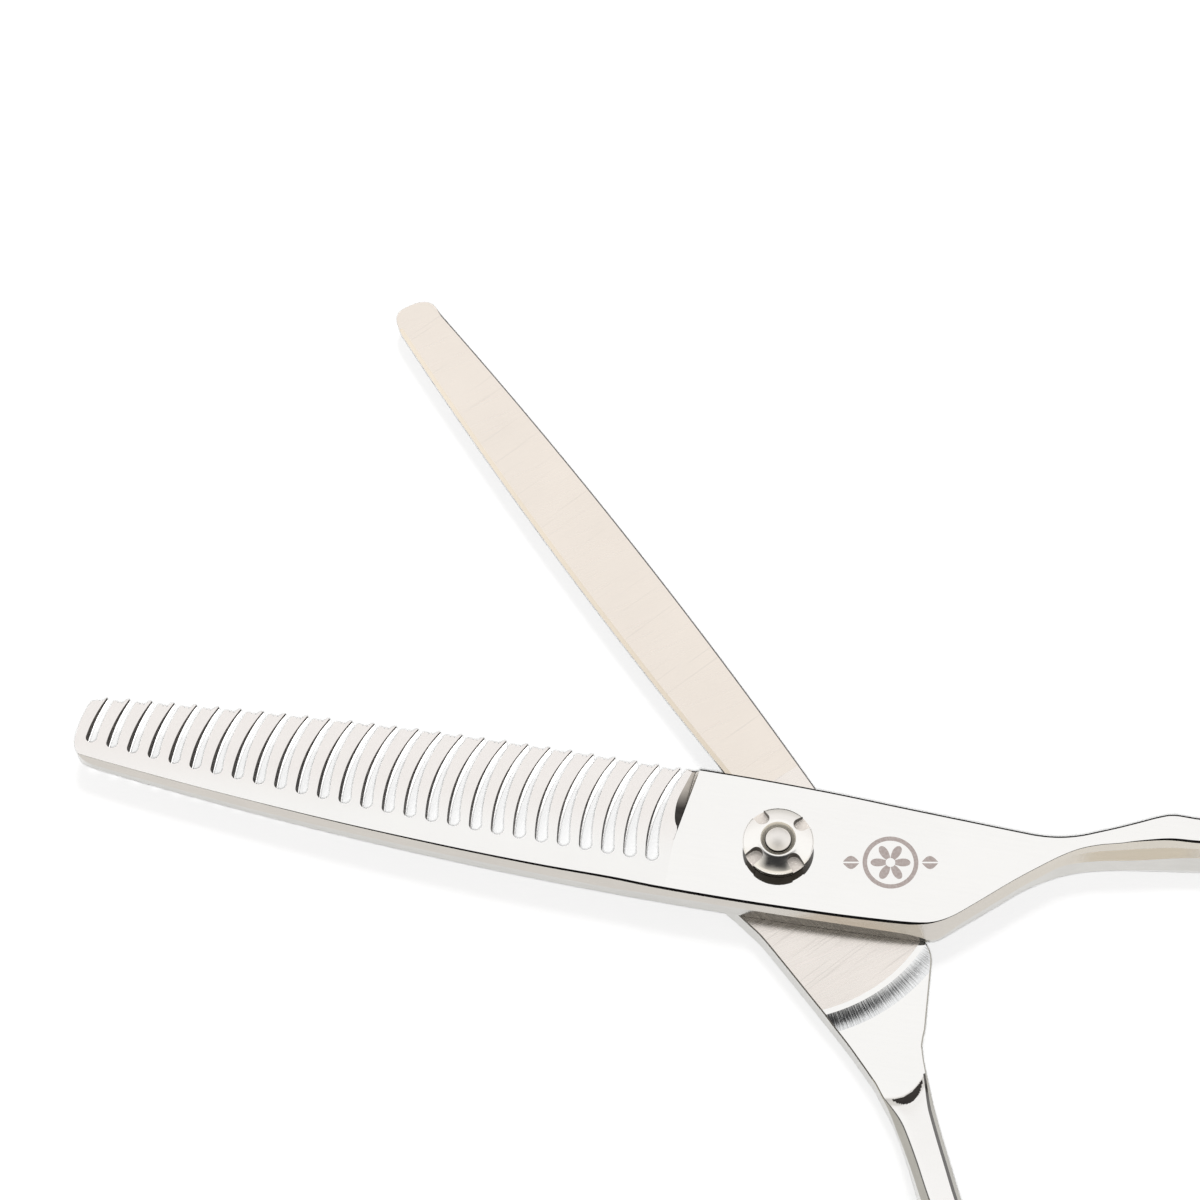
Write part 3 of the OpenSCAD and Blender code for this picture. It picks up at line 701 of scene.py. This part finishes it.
# the shank: its top and underside, the ridge of its lower side and the foot of that side
SH_TOP = [(20, 5.6), (24, 5.6), (30, 5.62), (38, 5.7), (50, 5.66), (58, 5.6), (61.2, 5.5)]
SH_BOT = [(20, 3.05), (21.6, 3.05), (25, 2.5), (28, 1.4), (31, 0.8), (34, 0.5), (38, 0.4), (46, 0.35),
          (54, 0.35), (61.2, 0.5)]
SH_RIDGE = [(20, -1.047), (21.56, 0.40), (23.17, 1.72), (24.67, 2.92), (26.34, 3.66), (28.05, 4.17),
            (31.49, 4.87), (34.92, 5.67), (38, 6.15), (46, 7.4), (54, 8.3), (61.2, 8.4)]
SH_RIDGE_Z = [(20, 4.35), (24.67, 4.2), (28, 4.0), (34, 3.95), (46, 4.2), (61.2, 4.3)]
SH_LOW = [(20, -1.047), (21.56, 0.36), (23.17, 1.55), (24.81, 2.55), (26.49, 3.30), (28.2, 3.82),
          (29.93, 4.2), (33.38, 4.86), (36.85, 5.4), (40, 5.95), (46, 7.0), (54, 7.9), (61.2, 8.0)]
SH_LOW_Z = [(20, 3.05), (22, 3.05), (25, 2.75), (28, 2.5), (34, 2.4), (61.2, 2.2)]


def comb_section(x):
    """Section of the shank at x: three sides above, the ridge, and the rounded underside."""
    fl, fu = float(along(FACE_LOW, x)), float(along(FACE_UP, x))
    zt, zb = float(along(SH_TOP, x)), float(along(SH_BOT, x))
    w = float(smooth((x - JOIN) / 8))
    up = fu + RIM + 0.1 * w
    lo, ri = float(along(SH_LOW, x)), float(along(SH_RIDGE, x))
    rz, lz = float(along(SH_RIDGE_Z, x)), float(along(SH_LOW_Z, x))
    lw = float(table(LIP, x))
    lip = fl - lw
    zl = zt - 0.2 * lw
    top = [(up, zt - 0.364 - 0.5 * w), (fu + CHAMFER, zt - 0.0986), (fu, zt), (fl, zt), (lip, zl),
           (lip * 0.55 + ri * 0.45 + 0.12 * w, zl * 0.55 + rz * 0.45 - 0.1 * w), (ri, rz)]
    a = [lip * 0.55 + ri * 0.45, lip, fl, fu, fu + CHAMFER]
    base = [(lo + 0.2, zb + 1.0), (lo + 0.4, zb + 0.5), (lo + 0.95, zb), (up - 0.95, zb), (up - 0.4, zb + 0.35)]
    mid = [(lo, lz)] + [(p + (q[0] - p) * w, zb + (q[1] - zb) * w) for p, q in zip(a, base)]
    mid.append((up, zb + 1.1 * w))
    return [Vector((x, y, z)) for y, z in top + mid]


def build_comb_half():
    sec = comb_section(JOIN)
    xs = np.linspace(EDGE_FROM, JOIN, 60)
    feats = [[(x, float(along(FACE_UP, x)) + d) for x in xs] for d in (0, CHAMFER)]
    xs = np.concatenate([np.linspace(-64.6, 14, 110), np.linspace(14.2, JOIN, 40)])
    feats.append([(x, float(along(FACE_LOW, x))) for x in xs])
    feats.append([(x, float(along(FACE_LOW, x) - table(LIP, x))) for x in xs])
    feats[-1][-1] = (JOIN, sec[4].y)
    feats.append([(JOIN, sec[5].y), (JOIN - 0.6, sec[5].y - 0.53)])
    for d in (-SOFT, -SOFT / 2, 0, SOFT / 2, SOFT):
        feats.append([(x, float(crest(x)) + d) for x in np.linspace(-57, -9.4, 60)])
    feats.append([(TEETH_X, -6.2), (TEETH_X, CREST_Y)])
    for k in (0, 0.06, 0.14, 0.25, 0.4, 0.6, 0.8, 1.0):
        feats.append([(float(step_x(y)) - k * float(along(WALL_W, y)), y)
                      for y in np.linspace(STEP_LOW, STEP_HIGH, 22)])
    feats += [arc(0, 0, PIVOT_R + d, 0, 360, 96) for d in (-0.01, 0.01)]
    bm = plate(comb_outline(sec[5].y), [arc(0, 0, BORE_R, 0, 360, 96)[:-1]], feats, comb_top,
               lambda x, y: np.full(np.shape(x), Z_COMB), comb_label,
               # height of the slot walls' painted-shade strip, widest towards the slot roots
               lambda x, y: float(np.interp(y, [-2.6, -0.5, 2.0, 4.5], [1.9, 1.45, 0.85, 0.4])))
    tag = bm.faces.layers.int["surface"]
    open_end(bm, JOIN, lambda v: v.co.z > 3.2 and any(f[tag] < WALL for f in v.link_faces) and sec[:7])
    xs = list(np.linspace(JOIN, 38, 72)) + list(np.linspace(38.5, 61.2, 46))
    loft(bm, [comb_section(x) for x in xs])
    ring(bm, FINGER_RING, HOLE_R, RING_WALL, RING_HEIGHT)
    way = (math.cos(REST_TURN), math.sin(REST_TURN), 0)
    foot = (FINGER_RING[0] + REST_AT * way[0], FINGER_RING[1] + REST_AT * way[1], RING_HEIGHT / 2)
    rod(bm, foot, way, [(0, 2.4), (2.4, 2.4), (2.5, 2.3)])

    # the edge, bevel, side and shoulder looks are painted shade and painted dark reflection on the one polished steel
    looks = {HEEL: heel_face, TEETH: tooth_steel, GROUND: tooth_steel, STEP: shoulder_painted_shade, LIP_FACE: edge_dark_painted_reflection,
             CHAMFER_IN: edge_dark_painted_reflection, SKIN + 1: edge_dark_painted_reflection, SKIN + 3: edge_dark_painted_reflection, LOW_SLOPE: bevel_painted_shade,
             SEAT: bevel_painted_shade, SKIN + 4: bevel_painted_shade, SKIN + 5: bevel_painted_shade, SKIN + 2: polished,
             RING: polished, ROD: polished}

    def pick(surface, c):
        # slot walls: painted shade on the upper strip, painted light on the rest
        if surface in (WALL, WALL_TOP) and -64.3 < c.x < -7.8 and back_y(c.x) + 0.7 < c.y < tips_y(c.x) + 0.3:
            return slot_wall_painted_shade if surface == WALL_TOP else slot_wall_painted_light
        return looks.get(surface, side_painted_shade)

    return finish_mesh(bm, "toothed_half", 0.0, [polished, tooth_steel, slot_wall_painted_shade, edge_dark_painted_reflection, bevel_painted_shade, side_painted_shade,
                                                 heel_face, shoulder_painted_shade, slot_wall_painted_light], pick)


# ---- plain half, drawn closed ----------------------------------------------------------
JOIN2 = 21.5  # x where the plate ends and the shank's skin starts
ACROSS_N = 24  # strips across the shank's top
N_TOP = ACROSS_N + 5  # points of a section's upper side
BLADE_X, EDGE_END = -6.4, -65.0  # the cutting edge runs between these
EDGE_W, SPINE_W, SIDE_W = 0.4, 0.14, 0.12  # widths of the lands along edge, spine and heel
RELIEF = (14.75, 15.25, 16.95)  # radii of the polished band, where the face steps down
RELIEF_DEPTH = 0.27
# surface numbers
BLADE, HEEL2, BAND_IN, BAND, BAND_OUT, EDGE, SPINE_LAND, HIGH_LAND, LOW_LAND = 21, 22, 23, 24, 25, 26, 27, 28, 29

# the shank's upper and lower edge, its top along the middle, and its underside
P_UP = [(21.5, 0.84), (22.74, 0.22), (25.31, -0.85), (28.62, -2.12), (31.41, -3.12), (34.33, -4.14), (37, -4.92),
        (42, -5.9), (46.5, -6.95), (48.9, -8.4)]
P_LOW = [(21.5, -4.42), (22.32, -4.46), (25.07, -4.85), (27.39, -5.39), (30.06, -6.16), (32.5, -6.95), (37, -8.3),
         (42, -9.8), (46.5, -12.0), (48.9, -13.2)]
P_TOP = [(20, 2.73), (21.5, 2.73), (23.3, 2.73), (23.5, 2.77), (23.8, 2.92), (24.1, 3.08), (24.4, 3.24),
         (24.65, 3.33), (25.6, 3.62), (27.5, 4.05), (29.5, 4.5), (33, 5.2), (37, 5.66), (42, 5.65), (48.9, 5.5)]
P_BOT = [(21.5, 0.5), (24, 0.45), (29.5, 0.35), (33, 0.3), (42, 0.35), (48.9, 0.5)]


def edge_y(x):
    """The cutting edge."""
    return 559.0 - np.sqrt(560.0 ** 2 - (x + 50) ** 2)


def spine_y(x):
    """The blade's back."""
    return 6.45 - 596 + np.sqrt(596.0 ** 2 - (x + 5) ** 2)


# both sides of the heel
LOW_SIDE = [(2.22, -6.055), (4.0, -5.66), (5.5, -5.36), (8, -5.14), (12, -4.85), (17, -4.5), (19.5, -4.43),
            (JOIN2, -4.42)]
HIGH_SIDE = ([(JOIN2, 0.84)] + arc(29.2, 10, 12, 229.0, 222, 8) + arc(13.9, 3.85, 2.6, 48, 90, 12)
             + [(11, 6.45), (6, 6.45), (0, 6.45)])


def plain_outline(end):
    """Outline of blade and heel, counter-clockwise; end holds the points where the shank joins."""
    pts = [tuple(p) for p in spline(LOW_SIDE, 6)][:-1] + end + HIGH_SIDE[1:]
    pts += [(x, float(spine_y(x))) for x in np.linspace(-1, -64.3, 60)]
    pts += [tuple(p) for p in spline([(-64.9, 3.46), (-65.7, 3.36), (-66.25, 2.95), (-66.62, 2.2),
                                      (-66.78, 1.2), (-66.76, 0.4), (-66.5, -0.1), (-66.05, -0.42),
                                      (-65.4, -0.64), (-64.8, -0.76)], 5)]
    pts += [(x, float(edge_y(x))) for x in np.linspace(-64.4, -6.7, 60)]
    pts += arc(0, 0, 6.45, 174.5, 289.6, 50)
    return pts


def plain_top(x, y):
    """Height of the plain half's upper side."""
    step = np.clip((np.hypot(x, y) - RELIEF[1]) / (RELIEF[2] - RELIEF[1]), 0, 1)
    z = 3.0 - np.where(x > 6, RELIEF_DEPTH * (1 - (1 - step) ** 2), 0)
    u = y - edge_y(x)
    z = z - np.where((x < BLADE_X) & (x >= EDGE_END), np.clip(EDGE_W - u, 0, 1), 0) * 0.30
    v = np.where(x < 0, spine_y(x) - y, 9)
    z = z - np.where((v < SPINE_W) & (x > -64.5), (SPINE_W - v) * 0.9, 0)
    hi = gap(HIGH_SIDE, x, y)
    z = z - np.where((x > -0.01) & (hi < SIDE_W), (SIDE_W - hi) * 1.2, 0)
    lo = gap(LOW_SIDE, x, y)
    return z - np.where((x > 2.3) & (lo < SIDE_W), (SIDE_W - lo) * 0.6, 0)


def plain_bot(x, y):
    """Underside, ground up towards the cutting edge."""
    z = 0.5 + np.maximum(0, -8 - x) * SPINE
    u = y - edge_y(x)
    fade = smooth((-6.5 - x) / 4)
    bevel = 2.68 - u * 0.53
    return np.maximum(z, np.where(u < 4.3, z + (np.maximum(bevel, z) - z) * fade, z))


def plain_label(x, y):
    """Surface number on the plain half's upper side."""
    r = np.hypot(x, y)
    out = np.where(x < BLADE_X, BLADE, HEEL2)
    for radius, band in zip(RELIEF, (BAND_IN, BAND, BAND_OUT)):
        out = np.where((r > radius) & (x > 6), band, out)
    out = np.where((x < BLADE_X) & (x > EDGE_END) & (y - edge_y(x) < EDGE_W), EDGE, out)
    out = np.where((x < 0) & (x > -64.5) & (spine_y(x) - y < SPINE_W), SPINE_LAND, out)
    out = np.where((x > 0) & (gap(HIGH_SIDE, x, y) < SIDE_W), HIGH_LAND, out)
    return np.where((x > 2.3) & (gap(LOW_SIDE, x, y) < SIDE_W), LOW_LAND, out)


def rise(x, u):
    """How far along the turn-up a point is: the flat face rises into the shank on a curved line."""
    return x - 0.85 * (1 - (2 * u - 1) ** 2) + 0.1


def plain_section(x):
    """Section of the shank at x: its top in narrow strips, then the underside."""
    lo, up = float(along(P_LOW, x)), float(along(P_UP, x))
    zb = float(along(P_BOT, x))
    w = float(smooth((x - 23.0) / 4))
    g = lo + SIDE_W + 0.48 * w
    m1 = up - 0.32 - 0.42 * w
    m2 = up - SIDE_W - 0.28 * w
    top = []
    for i in range(ACROSS_N + 1):
        t = i / ACROSS_N
        y = g + (m1 - g) * t
        z = float(along(P_TOP, rise(x, (y - lo) / (up - lo))))
        top.append((y, z - w * (0.08 * (2 * t - 1) ** 2 + 0.16 * max(0.0, 1 - t / 0.2) ** 2)))
    zg, zm = top[0][1], top[-1][1]
    top = ([(lo, zg - 0.072 - 1.2 * w), (g - 0.06 - 0.04 * w, zg - 0.036 - 0.12 * w)] + top
           + [(m2, zm - 0.45 * w), (up, zm - 0.144 - 1.1 * w)])
    n = len(top)
    arch = [(up + (lo - up) * i / (n - 1), zb + 0.9 * abs(2 * i / (n - 1) - 1) ** 6) for i in range(n)]
    low = [(p[0] + (q[0] - p[0]) * w, zb + (q[1] - zb) * w) for p, q in zip(top[::-1], arch)]
    return [Vector((x, y, z)) for y, z in top[::-1] + low[::-1]]


def build_plain_half():
    sec = plain_section(JOIN2)
    feats = [arc(0, 0, r, -24, 30, 60)
             for r in (14.75, 15.25, 15.35, 15.5, 15.7, 15.95, 16.2, 16.45, 16.7, 16.95)]
    feats.append([(x, float(edge_y(x)) + EDGE_W) for x in np.linspace(EDGE_END, BLADE_X, 70)])
    feats.append([(x, float(edge_y(x)) + 4.2) for x in np.linspace(-66, BLADE_X, 60)])
    feats.append([(x, float(spine_y(x)) - SPINE_W) for x in np.linspace(-64.5, 0, 60)])
    feats += [[(x, -2), (x, 7)] for x in (BLADE_X, -8, -9.2, -10.5)]
    feats += [[tuple(p) for p in shifted(side, SIDE_W)] for side in (HIGH_SIDE, spline(LOW_SIDE, 6))]
    feats += [[(JOIN2, q.y), (JOIN2 - 0.5, q.y)] for q in sec[2:-N_TOP - 2]]
    bm = plate(plain_outline([(JOIN2, q.y) for q in sec[N_TOP - 1::-1]]), [], feats, plain_top, plain_bot,
               plain_label)
    open_end(bm, JOIN2, lambda v: sec[:N_TOP] if v.co.z > 1.5 else sec[N_TOP:])
    xs = list(np.linspace(JOIN2, 26, 90)) + list(np.linspace(26.2, 48.9, 80))
    loft(bm, [plain_section(x) for x in xs])
    # the strips of the top count as one surface, SKIN + 2, and the sides after them follow on from SKIN + 12
    tag = bm.faces.layers.int["surface"]
    top = SKIN + 2
    for f in bm.faces:
        if top < f[tag] < top + ACROSS_N:
            f[tag] = top
        elif top + ACROSS_N <= f[tag] < RING:
            f[tag] -= ACROSS_N - 10
    ring(bm, THUMB_RING, HOLE_R, RING_WALL, RING_HEIGHT)

    # the edge, shank-side, side and shoulder looks are painted shade and painted dark reflection on the one polished
    # steel
    looks = {BLADE: satin, HEEL2: heel_satin, BAND: band_steel, BAND_IN: polished, BAND_OUT: polished,
             EDGE: edge_cream, SPINE_LAND: edge_dark_painted_reflection, LOW_LAND: edge_dark_painted_reflection, SKIN + 12: edge_dark_painted_reflection,
             HIGH_LAND: shank_side_painted_shade, SKIN: shank_side_painted_shade, SKIN + 13: shank_side_painted_shade, SKIN + 1: polished,
             top: polished, RING: polished}

    def pick(surface, c):
        if surface == SKIN + 1 and c.x > 23.5:
            return edge_dark_painted_reflection
        if surface == top:
            # painted shade in the hollow where the flat face turns up into the shank
            lo, up = float(along(P_LOW, c.x)), float(along(P_UP, c.x))
            u = (c.y - lo) / (up - lo)
            if 0 < rise(c.x, u) - 23.6 < 0.85 * math.sqrt(max(0.0, 1 - ((u - 0.52) / 0.36) ** 2)):
                return shoulder_painted_shade
        return looks.get(surface, side_painted_shade)

    return finish_mesh(bm, "plain_half_steel", OPEN, [satin, band_steel, polished, edge_cream, edge_dark_painted_reflection, side_painted_shade,
                                                      heel_satin, shank_side_painted_shade, shoulder_painted_shade], pick)


# ---- tension nut -----------------------------------------------------------------------
NUT_R, NUT_BORE, DOME_R = 3.15, 1.27, 6.8
Z_NUT, Z_RIM, Z_NOTCH = 5.65, 7.0, 6.55
NOTCH_AT, NOTCH_HALF, NOTCH_EDGE = 2.4, 0.6, 0.02
DISH_R = 1.56
ROUND_FROM, ROUND_W = 3.0, 0.15  # the rim's rounding
LEAN = 0.30  # how far the side leans in at its foot, as a share of r - 2
DOME_DROP = 6.0264  # height of the dome's sphere centre below Z_RIM
DOME, DISH, NOTCH_FLOOR, NOTCH_WALL = 31, 32, 33, 34  # surface numbers


def notch_gap(x, y):
    """Distance from the middle line of the nearest of the four notches."""
    best = np.full(np.shape(x), 9.0)
    for k in range(4):
        a = math.radians(45 + 90 * k)
        u, v = x * math.cos(a) + y * math.sin(a), -x * math.sin(a) + y * math.cos(a)
        best = np.minimum(best, np.where(u > NOTCH_AT, np.abs(v), np.hypot(u - NOTCH_AT, v)))
    return best


def nut_top(x, y):
    """Height of the nut's dome, dish and notches."""
    r = np.hypot(x, y)
    z = Z_RIM + np.sqrt(DOME_R ** 2 - np.minimum(r, 3.2) ** 2) - DOME_DROP
    t = np.clip((r - ROUND_FROM) / ROUND_W, 0, 1)
    z = z - ROUND_W * (1 - np.sqrt(1 - t * t))
    z = np.minimum(z, 7.12 + 1.4 * (r - 1.25))
    return np.where(notch_gap(x, y) < NOTCH_HALF + NOTCH_EDGE / 2, Z_NOTCH, z)


def nut_label(x, y):
    """Surface number on the nut's upper side."""
    out = np.where(np.hypot(x, y) < DISH_R, DISH, DOME)
    n = notch_gap(x, y)
    return np.where(n < NOTCH_HALF, NOTCH_FLOOR, np.where(n < NOTCH_HALF + NOTCH_EDGE, NOTCH_WALL, out))


def build_nut():
    feats = [arc(0, 0, r, 0, 360, 120) for r in (1.35, 1.45, DISH_R, 1.7, 1.95, 2.2, 2.45, 2.7, 2.9, ROUND_FROM,
                                                 3.04, 3.075, 3.105, 3.13, 3.145)]
    for k in range(4):
        for w in (NOTCH_HALF, NOTCH_HALF + NOTCH_EDGE):
            line = [(3.3, w)] + arc(NOTCH_AT, 0, w, 90, 270, 20) + [(3.3, -w)]
            a = math.radians(45 + 90 * k)
            feats.append([(u * math.cos(a) - v * math.sin(a), u * math.sin(a) + v * math.cos(a)) for u, v in line])
    bm = plate(arc(0, 0, NUT_R, 0, 360, 144)[:-1], [arc(0, 0, NUT_BORE, 0, 360, 72)[:-1]], feats, nut_top,
               lambda x, y: np.full(np.shape(x), Z_NUT), nut_label)
    for v in bm.verts:
        r = math.hypot(v.co.x, v.co.y)
        if v.co.z < Z_NUT + 0.05 and r > 2:
            k = (r - (r - 2) * LEAN) / r
            v.co.x *= k
            v.co.y *= k
    # the nut's side, notch walls and underside get painted shade
    looks = {DISH: nut_dish, NOTCH_FLOOR: nut_floor, NOTCH_WALL: nut_side_painted_shade, WALL: nut_side_painted_shade, UNDERSIDE: nut_side_painted_shade}
    return finish_mesh(bm, "nut_dome", 0.0, [nickel, nut_dish, nut_floor, nut_side_painted_shade],
                       lambda surface, c: looks.get(surface, nickel))


# ---- placing the pieces ----------------------------------------------------------------
comb = build_comb_half()
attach(comb, "toothed_side")
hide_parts("comb_half")
plain = build_plain_half()
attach(plain, "plain_side")
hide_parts("plain_half")
nut = build_nut()
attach(nut, "nut")
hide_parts("tension_nut")


# ---- floor and light -------------------------------------------------------------------
FRONT_AT = (0.020, -0.1165, 0.306)  # beside the camera, so that the object hides its own shadow
FRONT_POWER, FRONT_SIZE = 27.0, 0.012
KEY_AT = (0.0, 0.36, 0.95)  # overhead, for the faint shadow below the blades
KEY_POWER, KEY_SIZE = 9.5, 0.22
FLOOR_GREY, FLOOR_FAR, FLOOR_MOST = 0.15, 0.335, 0.5

# colours of the surroundings by the angle about X, in degrees: 0 is level behind the object, 90 overhead
SKY = [(0, (0.03, 0.03, 0.03)), (11, (0.04, 0.04, 0.04)), (20, (0.72, 0.70, 0.67)), (32, (0.90, 0.88, 0.865)),
       (59, (0.99, 0.98, 0.97)), (75, (1.0, 0.995, 0.985)), (124, (0.92, 0.88, 0.80)), (146, (0.90, 0.86, 0.78)),
       (163, (0.92, 0.87, 0.79)), (180, (0.93, 0.88, 0.80))]
# dark gap overhead between the softboxes: strength by the same angle, and where it ends sideways
GAP = [(76, (0, 0, 0)), (85, (1, 1, 1)), (111, (1, 1, 1)), (126, (0, 0, 0))]
GAP_SIDE = (0.24, 0.46)
GAP_COLOUR = (0.035, 0.035, 0.035)


def make_floor():
    bm = bmesh.new()
    bmesh.ops.create_grid(bm, x_segments=8, y_segments=8, size=2.0)
    mesh = bpy.data.meshes.new("floor")
    bm.to_mesh(mesh)
    bm.free()
    floor = bpy.data.objects.new("floor", mesh)
    floor.location.z = -0.00002
    scene.collection.objects.link(floor)
    mat, nt, bsdf = new_mat("floor_look")
    # the floor gets lighter away from the front lamp, which keeps it evenly white
    away = nt.nodes.new("ShaderNodeVectorMath")
    away.operation = "DISTANCE"
    away.inputs[1].default_value = FRONT_AT
    nt.links.new(nt.nodes.new("ShaderNodeTexCoord").outputs["Object"], away.inputs[0])
    cube = calc(nt, "POWER", away.outputs["Value"], 3.0)
    grey = calc(nt, "MINIMUM", calc(nt, "MULTIPLY", cube, FLOOR_GREY / FLOOR_FAR ** 3), FLOOR_MOST)
    nt.links.new(blend_colour(nt, grey, (0.0, 0.0, 0.0), (1.0, 1.0, 1.0)), bsdf.inputs["Base Color"])
    bsdf.inputs["Roughness"].default_value = 0.8
    bsdf.inputs["Specular IOR Level"].default_value = 0.1
    put(floor, mat)


def colour_ramp(nt, fac, stops):
    """Ramp over half a turn: stops are (degrees, colour)."""
    node = nt.nodes.new("ShaderNodeValToRGB")
    nt.links.new(fac, node.inputs["Fac"])
    ramp = node.color_ramp
    ramp.interpolation = "EASE"
    for element, (deg, colour) in ((ramp.elements[0], stops[0]), (ramp.elements[1], stops[-1])):
        element.position = deg / 180
        element.color = (*colour, 1)
    for deg, colour in stops[1:-1]:
        ramp.elements.new(deg / 180).color = (*colour, 1)
    return node.outputs["Color"]


def make_world():
    world = bpy.data.worlds.new("studio")
    scene.world = world
    world.use_nodes = True
    nt = world.node_tree
    x, y, z = split(nt, nt.nodes.new("ShaderNodeTexCoord").outputs["Generated"])
    half_turn = calc(nt, "DIVIDE", calc(nt, "ARCTAN2", z, y), math.pi)
    side = ranged(nt, calc(nt, "ABSOLUTE", x), *GAP_SIDE, 1, 0)
    mask = calc(nt, "MULTIPLY", side, colour_ramp(nt, half_turn, GAP))
    nt.links.new(blend_colour(nt, mask, colour_ramp(nt, half_turn, SKY), GAP_COLOUR),
                 nt.nodes["Background"].inputs["Color"])


def add_lamp(name, kind, at, power):
    """Lamp aimed at the pivot and left out of the steel's reflections."""
    data = bpy.data.lights.new(name, kind)
    data.energy = power
    obj = bpy.data.objects.new(name, data)
    obj.location = at
    obj.rotation_euler = (-Vector(at)).to_track_quat("-Z", "Y").to_euler()
    obj.visible_glossy = False
    scene.collection.objects.link(obj)
    return data


make_floor()
make_world()
front = add_lamp("front", "POINT", FRONT_AT, FRONT_POWER)
front.shadow_soft_size = FRONT_SIZE
key = add_lamp("key", "AREA", KEY_AT, KEY_POWER)
key.shape = "DISK"
key.size = KEY_SIZE

scene.view_settings.view_transform = "Standard"
scene.view_settings.look = "None"
